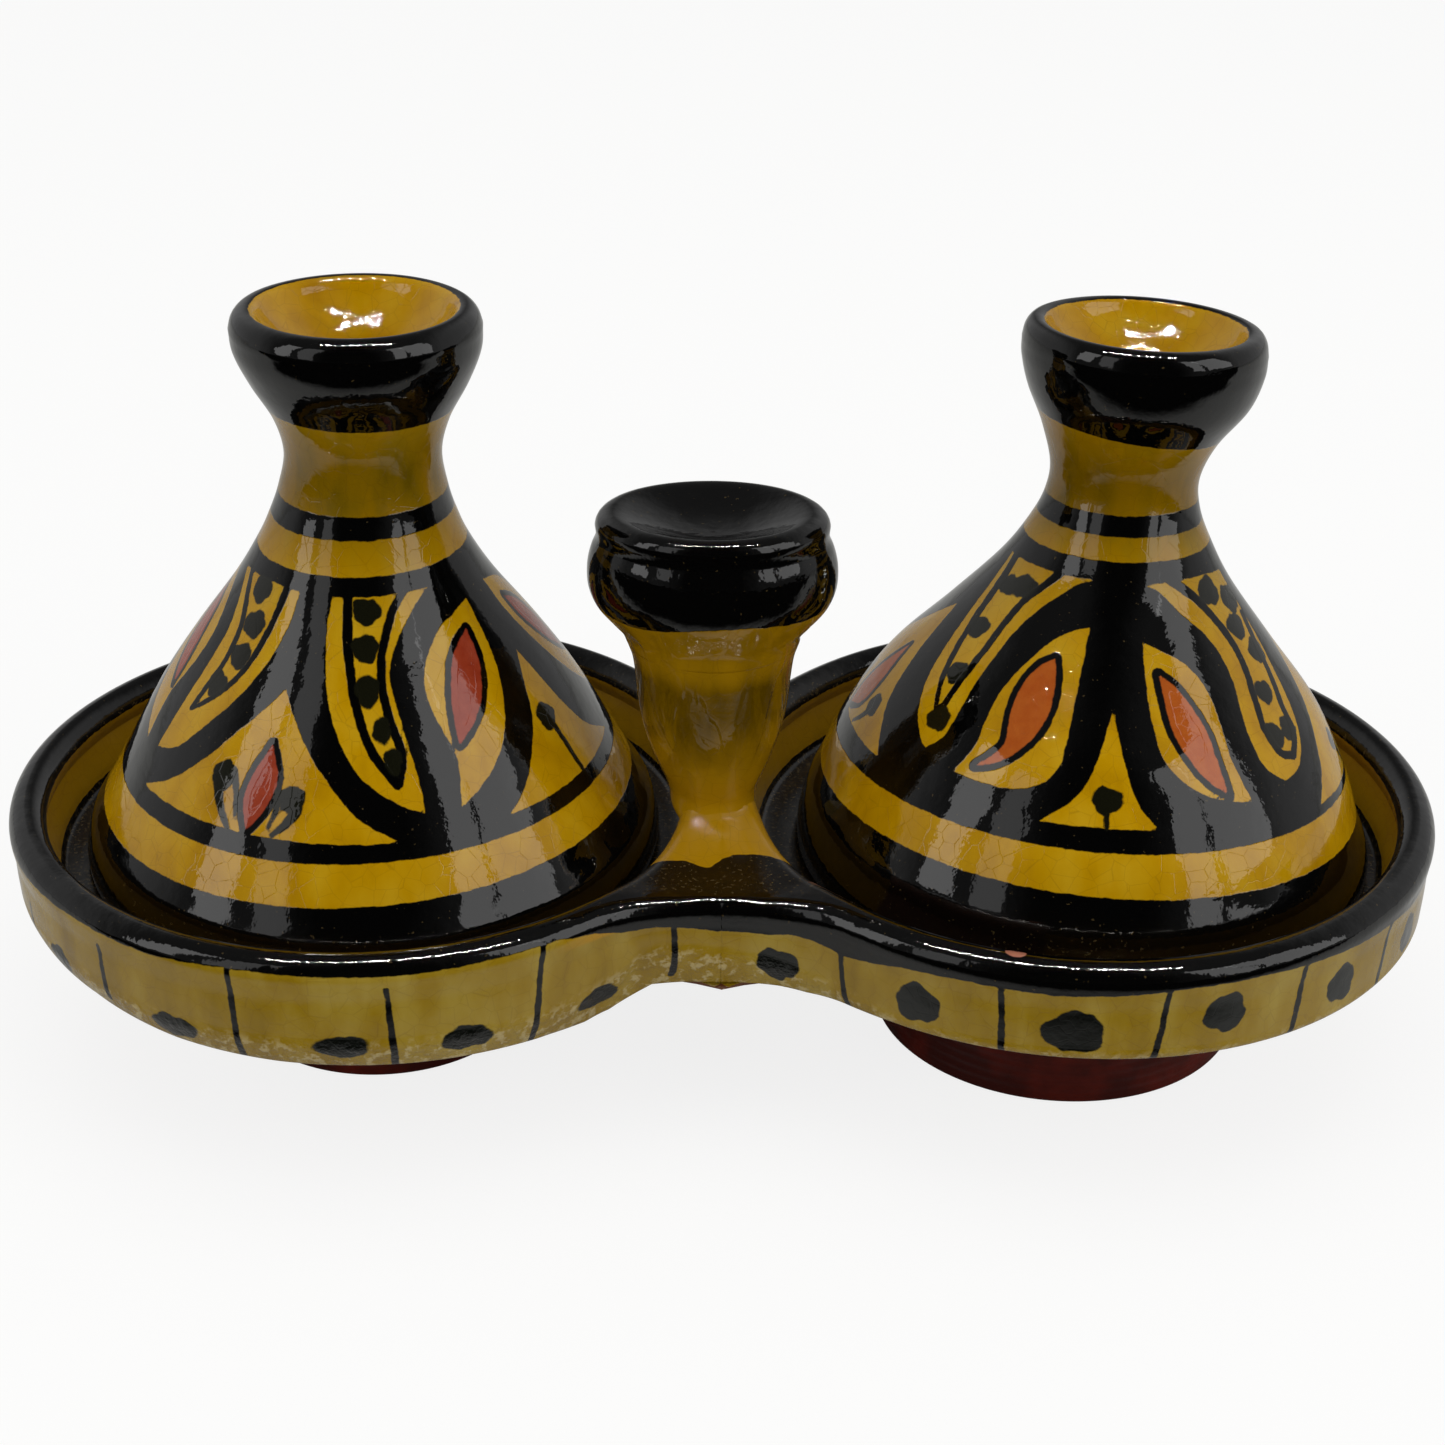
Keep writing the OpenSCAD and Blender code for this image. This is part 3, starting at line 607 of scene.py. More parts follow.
dishForm = {
    "offset": 48.7, "radius": 50.0, "innerRadius": 45.6, "beadRadius": 2.6, "beadHeight": 34.4,
    "ledge": 27.0, "ledgeWidth": 9.0, "footTop": 9.0, "bowlFloor": 14.0, "frontSweep": 32.0,
    "rearSweep": 12.0, "bite": 0.6, "rimTop": 37.0, "grip": (-1.4, -10.0), "skirtIn": 5.2,
    "skirtRun": 12.0, "skirtRise": 5.4, "columns": 720, "cornerSpan": 0.14, "cornerColumns": 141,
    "footReach": {-1: 20.3, 1: 24.8},  # where the left and the right foot meet their dish
    # along the wall from the middle of the front: hem height, rounding height above it, black edge
    "hem": [(-262, 22.4), (-225, 21.8), (-105, 22.6), (-90, 22.4), (-75, 21.2), (-60, 20.6),
            (-42, 20.2), (-23, 19.9), (-17, 19.4), (-13, 19.9), (-10, 21.0), (-7, 22.8), (-2, 23.0),
            (6, 22.9), (10, 22.6), (17, 22.8), (24, 23.2), (225, 23.0), (262, 22.4)],
    "lowRound": [(-262, 2.2), (-225, 3.5), (-60, 4), (-25, 4.5), (-18, 5.8), (-13, 6.8), (-10, 7.8),
                 (-7, 6.4), (0, 5.2), (8, 4), (18, 2), (26, 0.8), (225, 0.8), (262, 2.2)],
    "rimEdge": [(-262, 33.6), (-225, 34), (-105, 34.6), (-90, 35.0), (-77, 34.7), (-65, 35.3),
                (-50, 35.1), (-42, 35.0), (-23, 35.5), (-17, 34.5), (-13, 33.2), (-8, 33.0),
                (-4, 32.4), (0, 31.8), (6, 31.7), (9, 32.2), (12, 31.8), (16, 31.0), (19, 31.3),
                (25, 32.7), (33, 33.3), (45, 33.1), (54, 33.5), (62, 34.2), (72, 34.3), (80, 34.0),
                (90, 33.4), (97, 33.1), (105, 32.2), (111, 32.6), (225, 33.2), (262, 33.6)],
    "saddleEdge": [(-14, -22.5), (-9, -23.2), (-5.5, -23), (-3.4, -23.6), (-2.3, -25), (-0.6, -25.1),
                   (0.2, -22.2), (4.8, -21.4), (9, -22.6), (14, -22)],
    "dots": [(-96.4, 25.6, 2.6, 2.1), (-74.3, 24.1, 3.6, 1.9), (-51.1, 24.3, 3.7, 1.8),
             (-35.2, 24.1, 3.4, 2.0), (-15.8, 23.9, 3.4, 1.7), (6.9, 27.2, 2.9, 2.5),
             (27.4, 28.0, 3.1, 2.9), (47.8, 27.7, 4.0, 3.1), (67.2, 29.6, 2.9, 2.9),
             (86.0, 28.4, 2.6, 2.8), (104.1, 27.7, 2.6, 2.8)],
    "strokes": [[(-105.4, 29.6), (-105.6, 25.9)], [(-85.8, 32.5), (-85.5, 24.4)],
                [(-65.2, 35.6), (-65, 28), (-64.7, 20)], [(-45.2, 33.0), (-44.9, 28), (-44.5, 20)],
                [(-24.7, 36), (-25.2, 30), (-26.2, 19)], [(-5.8, 33), (-5.6, 30), (-5.1, 25)],
                [(15.7, 32), (16.2, 27), (16.8, 22)], [(38.2, 34), (38.6, 28), (38.8, 22)],
                [(59.3, 34), (58.8, 28), (58, 22)], [(78.6, 34), (78.2, 28), (77.7, 22)],
                [(96.4, 33.4), (95.6, 28), (94.8, 22)]],
    # a brown strip and a worn chip of the right dish: from and to along the wall, height and reach;
    # place, reach and size
    "brownStrip": (4, 42, 28.5, 36.2, 46.6), "chip": (39.5, 46.9, 1.5),
    # round the back the same row goes on: first stroke, first dot, spacing, height and size of a dot
    "rowOn": {-1: (125.0, 115.2, 19.6, 27.0, 3.1, 2.2), 1: (114.3, 123.6, 18.7, 28.2, 2.8, 2.7)},
}


def dishReach(angle, side):
    # from a dish's centre to the outside of the pair: its own circle, or the sweep that joins the two
    # walls where that lies further out. The second value is the distance to the middle plane.
    form = dishForm
    towards, across = -side * np.cos(angle), np.sin(angle)
    toPlane = np.where(towards > 0.01, form["offset"] / np.maximum(towards, 0.01), 500.0)
    lean = np.arctan2(across, towards)
    reach = np.full(angle.shape, form["radius"])
    for sweep, sign in ((form["frontSweep"], -1), (form["rearSweep"], 1)):
        far = math.sqrt((form["radius"] + sweep - form["bite"]) ** 2 - form["offset"] ** 2)
        middle = towards * form["offset"] + across * far * sign
        square = middle ** 2 - (form["offset"] ** 2 + far ** 2 - sweep ** 2)
        hit = np.where(square > 0, middle - np.sqrt(np.maximum(square, 0)), 90.0)
        inside = lean * sign > 0
        edge = math.atan2(far, form["offset"])
        past = np.where(np.abs(lean) < edge, hit - form["radius"],
                        -2 * form["bite"] - (hit - form["radius"]))
        bulge = 0.5 * (past + np.sqrt(past ** 2 + 0.64))
        reach = np.where(inside, np.maximum(reach, form["radius"] + bulge), reach)
    return reach - 0.15 - 0.15 * np.abs(lumps(angle, 0, 5 + side, 0.6)), toPlane


def alongWall(angle, side):
    # length along the outside from the middle of the front, positive to the right
    order = np.linspace(-np.pi, np.pi, 4001)
    reach, plane = dishReach(order, side)
    reach = np.minimum(reach, plane)
    x, y = side * dishForm["offset"] + reach * np.cos(order), reach * np.sin(order)
    # start at the corner in front of the middle plane and walk away from it
    start = np.argmin(np.where((np.abs(x) < 0.2) & (y < 0), y, 1e3))
    steps = np.hypot(np.diff(x), np.diff(y))
    total = np.concatenate([[0], np.cumsum(steps)])
    length = (total - total[start]) if side > 0 else (total[start] - total)
    length = np.where(length < 0, length + total[-1], length)
    # on the hidden middle plane the length stays what it is at the nearer corner
    hidden = np.abs(x) < 0.05
    length = np.where(hidden, np.where(y < -4, 0.0, length[~hidden].max()), length)
    return side * np.interp(angle, order, length)


def saddleTop(x, y, out):
    # top of the rims and of the saddle: level, a little lower over the webs, and rising to the stem as a
    # quarter of an ellipse
    gx, gy = dishForm["grip"]
    rho = np.hypot(x - gx, y - gy)
    near = np.clip((rho - dishForm["skirtIn"]) / dishForm["skirtRun"], 0, 1)
    skirt = dishForm["skirtRise"] * (1 - np.sqrt(1 - (1 - near) ** 2))
    return dishForm["rimTop"] - 0.6 * smoothStep(out / 7) + skirt


def buildDish(name, side):
    # rings about the dish's centre, from the foot up the wall, over the rim and down into the bowl, each
    # cut off at the middle plane where the other half goes on
    form, footRadius = dishForm, dishForm["footReach"][side]
    # even columns, closer together round the two corners where the halves meet
    dense = np.linspace(-np.pi, np.pi, 20001)
    beyond = np.subtract(*dishReach(dense, side)) > 0
    corners = dense[:-1][beyond[:-1] != beyond[1:]]
    angle = np.linspace(-np.pi, np.pi, form["columns"], endpoint=False)
    away = np.abs(angle[:, None] - corners).min(axis=1)
    span, count = form["cornerSpan"], form["cornerColumns"]
    close = [np.linspace(corner - span, corner + span, count) for corner in corners]
    angle = np.sort(np.concatenate([angle[away > span]] + close))
    reach, plane = dishReach(angle, side)
    along = alongWall(angle, side)
    hem = np.interp(along, *np.array(form["hem"]).T)
    lowRound = np.interp(along, *np.array(form["lowRound"]).T)
    centreX = side * form["offset"]

    def ring(radius, height):
        # points at that radius and height about the dish's centre, held back at the middle plane
        radius = np.minimum(radius + 0 * angle, plane)
        x, y = centreX + radius * np.cos(angle), radius * np.sin(angle)
        return np.stack([x, y, height + 0 * angle], -1)

    rows, kinds = [], []

    def addRow(radius, height, kind):
        # the next ring, and the part of the dish it lies on
        rows.append(ring(radius, height))
        kinds.append(kind)

    addRow(footRadius * 0.5, form["footTop"], "under")
    inset = 0.3 * lowRound
    shown = np.where(plane < reach, plane + inset + 2.4, reach)
    underReach = (footRadius, footRadius * 1.3, 0.72 * shown, shown - inset - 2.4)
    underRise = (form["footTop"], form["footTop"] * 1.45, hem * 0.92, hem - 0.1)
    for t in np.linspace(0, 1, 12):
        addRow(cubic(underReach, t), cubic(underRise, t), "under")
    for a in (0.175 * math.pi, 0.35 * math.pi, 0.5 * math.pi):
        addRow(reach - inset - 2.4 + 1.9 * math.sin(a), hem - 0.1 + 0.7 * (1 - math.cos(a)), "wall")
    # near the saddle on the left the low part is a flat pressed facet with a crease above it
    bend = 1.8 - 0.9 * np.exp(-((along + 13) / 6.0) ** 4)
    for t in np.linspace(0.08, 1, 10):
        addRow(reach - 0.5 - inset * (1 - t) ** bend, hem + 0.6 + lowRound * t, "wall")
    beadLow = form["beadHeight"] - form["beadRadius"] * math.sin(math.radians(15))
    wallStart = hem + 0.6 + lowRound
    for t in np.linspace(0, 1, 18)[1:-1]:
        addRow(reach - 0.5 + 0.12 * math.sin(t * math.pi) + 0.36 * smoothStep((t - 0.65) / 0.35),
               wallStart + (beadLow - wallStart) * t, "wall")
    beadIn = form["radius"] - form["beadRadius"]
    out = reach - form["radius"]
    for a in np.radians(np.linspace(-15, 75, 10)):
        radius = reach - form["beadRadius"] + form["beadRadius"] * math.cos(a)
        kept = np.minimum(radius, plane)
        top = saddleTop(centreX + kept * np.cos(angle), kept * np.sin(angle), out)
        low = form["beadHeight"] + form["beadRadius"] * math.sin(a)
        addRow(radius, low + (top - form["rimTop"]) * smoothStep((math.degrees(a) + 15) / 90), "rim")
    for t in np.linspace(0, 1, 18):
        radius = (reach - form["beadRadius"] + 0.3) * (1 - t) + beadIn * t
        kept = np.minimum(radius, plane)
        addRow(radius, saddleTop(centreX + kept * np.cos(angle), kept * np.sin(angle), out), "rim")
    for a in np.radians([105, 120, 135, 150, 165, 180, 200]):
        radius = beadIn + form["beadRadius"] * math.cos(a)
        top = saddleTop(centreX + radius * np.cos(angle), radius * np.sin(angle), out)
        share = math.sqrt(max(math.sin(a), 0.0)) if a < np.pi else 0.0
        kind = "rim" if a < math.radians(160) else "inner"
        low = form["beadHeight"] + form["beadRadius"] * math.sin(a)
        addRow(radius, low + (top - form["rimTop"]) * share, kind)
    for height in (32.6, 31.8, 31, 30.2, 29.4, 28.6):
        addRow(form["innerRadius"] - 0.2 - 0.4 * (33 - height), height, "inner")
    for a in np.radians([30, 60, 90]):
        addRow(form["innerRadius"] - 3.0 + 1.0 * math.cos(a), form["ledge"] + 1.2 - 1.2 * math.sin(a),
               "inner")
    ledgeIn = form["innerRadius"] - form["ledgeWidth"]
    addRow((form["innerRadius"] + ledgeIn) / 2, form["ledge"], "inner")
    bowl = footRadius * 0.6
    bowlReach = (ledgeIn, ledgeIn * 0.83, bowl * 1.8, bowl)
    bowlRise = (form["ledge"], form["ledge"] - 4, form["bowlFloor"] + 1, form["bowlFloor"])
    for t in np.linspace(0, 1, 12):
        addRow(cubic(bowlReach, t), cubic(bowlRise, t), "inner")
    rings = np.stack(rows)
    kinds = np.array(kinds)

    shape = rings.shape[:2]
    ones = np.ones(shape).ravel()
    flat = {"u": np.broadcast_to(along, shape).ravel(), "v": rings[..., 2].ravel(), "perU": ones,
            "perV": ones}
    edge = np.interp(flat["u"], *np.array(form["rimEdge"]).T)
    yellow = edge - flat["v"]
    dark = np.full(yellow.shape, -50.0)
    strokeAt, dotAt, spacing, level, halfWidth, halfHeight = form["rowOn"][side]
    onward = spacing * np.arange(8)
    strokes = form["strokes"] + [[(side * at, 34.5), (side * at + 0.4, 28), (side * at, 20)]
                                 for at in strokeAt + onward]
    dots = form["dots"] + [(side * at, level, halfWidth, halfHeight) for at in dotAt + onward]
    for stroke in strokes:
        pick = np.abs(flat["u"] - stroke[0][0]) < 6
        part = {key: value[pick] for key, value in flat.items()}
        yellow[pick] = np.minimum(yellow[pick], -strokeField(part, stroke, (0.5, 0.38)))
    for dot in dots:
        pick = np.abs(flat["u"] - dot[0]) < 8
        part = {key: value[pick] for key, value in flat.items()}
        dark[pick] = np.maximum(dark[pick], dotField(part, dot))
    yellow, dark = yellow.reshape(shape), dark.reshape(shape)
    inner = (kinds == "inner")[:, None]
    rim = (kinds == "rim")[:, None]
    under = (kinds == "under")[:, None]
    x, y, z = rings[..., 0], rings[..., 1], rings[..., 2]
    fromCentre, fromMiddle = np.hypot(x - centreX, y), np.hypot(x, y)
    # inside: yellow wall and bowl; the black on the ledge that the lid stands on is painted shade for the
    # dark gap between lid and wall
    ledgeShadeField = np.minimum(28.2 - z, fromCentre - ledgeIn + 1.5)
    yellow = np.where(inner, np.minimum(34.6 - z, -ledgeShadeField), yellow)
    # on the saddle the stem's yellow runs forward to a wavering edge
    edgeY = np.interp(x, *np.array(form["saddleEdge"]).T)
    saddle = np.minimum(np.minimum(y - edgeY, 1.5 - y), 13 - np.abs(x))
    yellow = np.where(rim, np.maximum(yellow, saddle), yellow)
    dark = np.where(inner | rim, noPaint, dark)
    # a brown strip inside the rim at the front of the right dish, and a worn chip on its rim
    length = flat["u"].reshape(shape)
    left, right, low, high, reachIn = form["brownStrip"]
    strip = np.minimum(np.minimum(length - left, right - length) * 0.25, np.minimum(z - low, high - z))
    strip = np.minimum(strip, reachIn - fromCentre)
    chipAt, chipOut, chipSize = form["chip"]
    chip = chipSize - np.hypot(length - chipAt, (fromCentre - chipOut) * 1.6)
    bare = np.where(under, 3.0, np.where(inner | rim, strip if side > 0 else noPaint, noPaint))
    redChip = np.where(rim, chip if side > 0 else noPaint, noPaint)
    warm = np.where(inner, 1.0, np.where(rim, smoothStep((24 - np.abs(length)) / 8), 0.0))
    # where the pale flecks go along the hem: partly worn thin glaze, partly painted glints
    wearAndGlint = np.where(inner | rim, 0.0, smoothStep((hem + lowRound + 1.5 - z) / 2.5))
    matt = smoothStep((44 - fromMiddle) / 14) * smoothStep((reach - fromCentre - 2.5) / 2.5)
    thin = np.where(inner, 0.9, np.where(rim, 0.66 * matt + 0.04, 0.0))
    paint = {"yellowPaint": yellow.clip(noPaint, allPaint), "redPaint": redChip.clip(noPaint, allPaint),
             "darkPaint": dark.clip(noPaint, allPaint), "bareClay": bare.clip(noPaint, allPaint),
             "glazeDepthAndShade": np.where(inner, 0.15, 0.0), "warmYellow": warm, "hemWearAndGlint": wearAndGlint,
             "thinBlack": thin}
    paint = {field: values + np.zeros(shape) for field, values in paint.items()}
    return closedSurface(name, rings, [(centreX, 0, form["footTop"]), (centreX, 0, form["bowlFloor"])],
                         paint)


leftDish = buildDish("leftDish", -1)
finishPiece(leftDish, ochreGlaze, "base", ["left_dish"])
rightDish = buildDish("rightDish", 1)
finishPiece(rightDish, ochreGlaze, "base", ["right_dish", "front_web", "rear_web"])


gripForm = {
    "columns": 180, "base": (-1.3, -10.0), "top": (-1.6, -10.0), "blackFrom": 68.6,
    "stem": [(31, 6.0), (36, 5.8), (39, 5.8), (41.5, 6.1), (46, 7.9), (50, 9.2), (54, 9.95),
             (58, 10.3), (61, 10.7), (63, 11.4)],
    "knob": [(63, 11.4), (64.6, 12.2), (66.3, 13.8), (68, 15.3), (69.7, 16.1), (71.4, 16.4),
             (73.6, 16.3), (75.6, 15.8), (77, 15.2), (77.9, 15.15), (78.8, 15.25), (79.7, 14.9),
             (80.3, 14.2), (80.5, 13.2)],
    "hollow": [(80.5, 13.2), (80.3, 12), (79.6, 10), (78.6, 7), (78, 4), (77.8, 0)],
}


def gripRings(profile, seed, size):
    # rings about the grip's axis, which leans a little; low down they are squeezed to the wall's width
    theta = np.linspace(-np.pi, np.pi, gripForm["columns"], endpoint=False)[None, :]
    z, r = profile[:, :1], profile[:, 1:]
    share = (z - 31) / 49
    centreX = gripForm["base"][0] + (gripForm["top"][0] - gripForm["base"][0]) * share
    r = r + lumps(theta, z, seed, size) * (r > 2)
    narrow = 0.5 + 0.5 * smoothStep((z - 34) / 5)
    spread = 1 + 0.4 * np.clip((41.5 - z) / 5, 0, 1) ** 2 - 0.16 * smoothStep((z - 60) / 8)
    centreY = gripForm["base"][1] + 1.1 * smoothStep((z - 60) / 8)
    tip = 0.045 * r * np.cos(theta) * smoothStep((z - 66) / 12)
    x, y = centreX + r * narrow * np.sin(theta), centreY - r * spread * np.cos(theta)
    return np.stack([x, y, z + tip], -1)


def buildStem():
    # waisted stem; the glaze lies thickest on its upper half, and the darker colour there under the knob
    # is partly painted shade
    rings = gripRings(joinRuns([(gripForm["stem"], 0.6)]), 11, 0.2)
    centre, level = rings.mean(axis=1), rings[..., 2]
    depthAndShade = smoothStep((level - 42) / 15) * (1 - 0.45 * smoothStep((level - 59) / 3.5))
    return closedSurface("gripStem", rings, [centre[0], centre[-1]], {
        "yellowPaint": allPaint, "redPaint": noPaint, "darkPaint": noPaint, "bareClay": noPaint,
        "warmYellow": 1.0, "glazeDepthAndShade": depthAndShade})


def buildKnob():
    # two rolls under a dished top; black down to a wavering edge, yellow below it
    profile = joinRuns([(gripForm["knob"], 0.5), (gripForm["hollow"], 0.7)])
    profile = np.vstack([[(62.4, 6.0)], profile])
    rings = gripRings(profile[:-1], 12, 0.15)
    theta = np.linspace(-np.pi, np.pi, gripForm["columns"], endpoint=False)[None, :]
    centre = rings.mean(axis=1)
    edge = gripForm["blackFrom"] + 0.9 * np.cos(theta) + 0.5 * np.sin(theta) + 0.4 * np.sin(4 * theta + 1)
    yellow = (edge - rings[..., 2]).clip(noPaint, allPaint)
    return closedSurface("gripKnob", rings, [centre[0], centre[-1] - (0, 0, 0.05)], {
        "yellowPaint": yellow, "redPaint": noPaint, "darkPaint": noPaint, "bareClay": noPaint,
        "warmYellow": 1.0, "thinBlack": 0.04, "glazeDepthAndShade": 0.55})


gripStem = buildStem()
finishPiece(gripStem, ochreGlaze, "base", ["grip_stem"])
gripKnob = buildKnob()
finishPiece(gripKnob, ochreGlaze, "base", ["grip_knob"])


# Red earthenware foot, turned on the wheel and wiped with thin iron glaze: dark, satin, finely ringed
footLook = {"wash": "#3A0902", "clay": "#641606", "ringSpacing": 1.3}


def makeFootClay(look):
    # a thin wash worn through in patches; a sine up the foot gives the rings that turning leaves
    material, tree = newMaterial("ironWashedEarthenware")
    place = addNode(tree, "ShaderNodeTexCoord").outputs["Object"]
    patches = addNode(tree, "ShaderNodeTexNoise", {},
                      {"Vector": place, "Scale": 120.0, "Detail": 5.0}).outputs["Fac"]
    grit = addNode(tree, "ShaderNodeTexNoise", {},
                   {"Vector": place, "Scale": 1600.0, "Detail": 2.0}).outputs["Fac"]
    worn = addNode(tree, "ShaderNodeMapRange", {},
                   {"Value": patches, "From Min": 0.45, "From Max": 0.75}).outputs[0]
    colour = mixColours(tree, worn, toLinear(look["wash"]), toLinear(look["clay"]))
    height = addNode(tree, "ShaderNodeSeparateXYZ", {}, {0: place}).outputs[2]
    turns = addNode(tree, "ShaderNodeMath", {"operation": "MULTIPLY"},
                    {0: height, 1: 2000 * math.pi / look["ringSpacing"]})
    rings = addNode(tree, "ShaderNodeMath", {"operation": "SINE"}, {0: turns.outputs[0]}).outputs[0]
    relief = addNode(tree, "ShaderNodeMath", {"operation": "MULTIPLY_ADD"},
                     {0: grit, 1: 0.8, 2: rings}).outputs[0]
    bump = addNode(tree, "ShaderNodeBump", {},
                   {"Strength": 0.5, "Distance": 0.00008, "Height": relief}).outputs[0]
    shine = addNode(tree, "ShaderNodeMapRange", {},
                    {"Value": patches, "To Min": 0.25, "To Max": 0.55}).outputs[0]
    shader = addNode(tree, "ShaderNodeBsdfPrincipled", {},
                     {"Base Color": colour, "Roughness": shine, "Normal": bump, "IOR": 1.5,
                      "Specular IOR Level": 0.2})
    addNode(tree, "ShaderNodeOutputMaterial", {}, {"Surface": shader.outputs[0]})
    return material


footClay = makeFootClay(footLook)
footForm = {"reach": {-1: 21.5, 1: 26.3}, "height": 9.3, "hollow": 2.5, "columns": 240}


def buildFoot(name, side):
    # turned ring with a shallow hollow under it: one profile turned about the dish's axis
    theta = np.linspace(-np.pi, np.pi, footForm["columns"], endpoint=False)[None, :]
    radius, top = footForm["reach"][side], dishForm["footReach"][side]
    hollow, height = footForm["hollow"], footForm["height"]
    profile = joinRuns([([(hollow, radius - 6.5), (2.3, radius - 6.0), (0, radius - 5)], 0.8),
                        ([(0, radius - 5), (0, radius - 0.9)], 1.2),
                        ([(0, radius - 0.9), (0.25, radius - 0.25), (0.9, radius)], 0.3),
                        ([(0.9, radius), (5, (radius + top) / 2 + 0.1), (height, top + 0.2)], 0.6)])
    z, r = profile[:, :1], profile[:, 1:]
    r = r - np.abs(lumps(theta, z, 20 + side, 0.12)) * (z > 0.3)
    centreX = side * dishForm["offset"]
    rings = np.stack([centreX + r * np.sin(theta), -r * np.cos(theta), z + 0 * theta], -1)
    return closedSurface(name, rings, [(centreX, 0, hollow), (centreX, 0, height)])


leftFoot = buildFoot("leftFoot", -1)
finishPiece(leftFoot, footClay, "base", ["left_foot"])
rightFoot = buildFoot("rightFoot", 1)
finishPiece(rightFoot, footClay, "base", ["right_foot"])


stageLook = {"floor": "#D6D6D3", "size": 3.0, "sky": 0.46, "glow": 0.72, "glowStrength": 1.15,
             "behind": 0.92}


def makeFloor():
    # pale paper: seen directly it is nearly white and keeps a soft shadow; what shines back from the
    # part of it in front of the object is dim, as behind a person standing there
    half = stageLook["size"]
    mesh = bpy.data.meshes.new("floor")
    mesh.from_pydata([(-half, -half, 0), (half, -half, 0), (half, half, 0), (-half, half, 0)], [],
                     [(0, 1, 2, 3)])
    floor = bpy.data.objects.new("floor", mesh)
    bpy.context.scene.collection.objects.link(floor)
    material, tree = newMaterial("whitePaperSweep")
    rays = addNode(tree, "ShaderNodeLightPath")
    place = addNode(tree, "ShaderNodeTexCoord").outputs["Object"]
    front = addNode(tree, "ShaderNodeSeparateXYZ", {}, {0: place}).outputs[1]
    dim = addNode(tree, "ShaderNodeMapRange", {"interpolation_type": "SMOOTHSTEP"},
                  {"Value": front, "From Min": -0.105, "From Max": -0.06, "To Min": 1.0,
                   "To Max": 0.0}).outputs[0]
    dim = addNode(tree, "ShaderNodeMath", {"operation": "MULTIPLY"},
                  {0: dim, 1: rays.outputs["Is Glossy Ray"]}).outputs[0]
    paper = mixColours(tree, dim, toLinear(stageLook["floor"]), toLinear("#0C0C0C"))
    matt = addNode(tree, "ShaderNodeBsdfDiffuse", {}, {"Color": paper})
    glow = addNode(tree, "ShaderNodeEmission", {},
                   {"Color": (1, 1, 1, 1), "Strength": stageLook["glowStrength"]})
    share = addNode(tree, "ShaderNodeMath", {"operation": "MULTIPLY"},
                    {0: rays.outputs["Is Camera Ray"], 1: stageLook["glow"]})
    both = addNode(tree, "ShaderNodeMixShader", {},
                   {0: share.outputs[0], 1: matt.outputs[0], 2: glow.outputs[0]})
    addNode(tree, "ShaderNodeOutputMaterial", {}, {"Surface": both.outputs[0]})
    mesh.materials.append(material)


def makeSky():
    # even grey light; shiny surfaces see white at the sides and behind, a grey room in front, and a
    # dark gap straight ahead
    world = bpy.data.worlds.new("studio")
    bpy.context.scene.world = world
    world.use_nodes = True
    tree = world.node_tree
    tree.nodes.clear()
    direction = addNode(tree, "ShaderNodeTexCoord").outputs["Generated"]
    axes = addNode(tree, "ShaderNodeSeparateXYZ", {}, {0: direction})
    side = addNode(tree, "ShaderNodeMath", {"operation": "ABSOLUTE"}, {0: axes.outputs[0]}).outputs[0]
    back = addNode(tree, "ShaderNodeMath", {"operation": "MULTIPLY_ADD"},
                   {0: axes.outputs[1], 1: 0.75, 2: side}).outputs[0]
    room = addNode(tree, "ShaderNodeMapRange", {"interpolation_type": "SMOOTHSTEP"},
                   {"Value": back, "From Min": -0.35, "From Max": 0.15, "To Min": 0.006,
                    "To Max": 0.10}).outputs[0]
    white = addNode(tree, "ShaderNodeMapRange", {"interpolation_type": "SMOOTHSTEP"},
                    {"Value": back, "From Min": 0.65, "From Max": 1.05, "To Min": 0.0,
                     "To Max": 0.3}).outputs[0]
    seen = addNode(tree, "ShaderNodeMath", {"operation": "ADD"}, {0: room, 1: white}).outputs[0]
    rays = addNode(tree, "ShaderNodeLightPath")
    even = addNode(tree, "ShaderNodeMix", {"data_type": "FLOAT"},
                   {0: rays.outputs["Is Glossy Ray"], 2: stageLook["sky"], 3: seen}).outputs[0]
    white = addNode(tree, "ShaderNodeMix", {"data_type": "FLOAT"},
                    {0: rays.outputs["Is Camera Ray"], 2: even, 3: stageLook["behind"]}).outputs[0]
    light = addNode(tree, "ShaderNodeBackground", {}, {"Color": (1, 1, 1, 1), "Strength": white})
    addNode(tree, "ShaderNodeOutputWorld", {}, {"Surface": light.outputs[0]})


def aimFrom(azimuth, elevation, distance):
    # matrix of something that stands out from the object in that direction and faces back to it
    a, e = math.radians(azimuth), math.radians(elevation)
    out = np.array([math.sin(a) * math.cos(e), -math.cos(a) * math.cos(e), math.sin(e)])
    right = np.array([math.cos(a), math.sin(a), 0.0])
    matrix = Matrix.Identity(4)
    for column, axis in enumerate((right, np.cross(out, right), out,
                                   out * distance + np.array([0, 0, 0.05]))):
        for row in range(3):
            matrix[row][column] = axis[row]
    return matrix


def addSoftbox(name, azimuth, elevation, distance, width, height, glow, shines=True):
    # a rectangle of even light facing the object; glow is its radiance, so power is pi x area x glow
    light = bpy.data.lights.new(name, "AREA")
    light.shape, light.size, light.size_y = "RECTANGLE", width, height
    light.energy = math.pi * width * height * glow
    lamp = bpy.data.objects.new(name, light)
    bpy.context.scene.collection.objects.link(lamp)
    lamp.matrix_world = aimFrom(azimuth, elevation, distance)
    lamp.visible_glossy = shines
    lamp.visible_camera = False


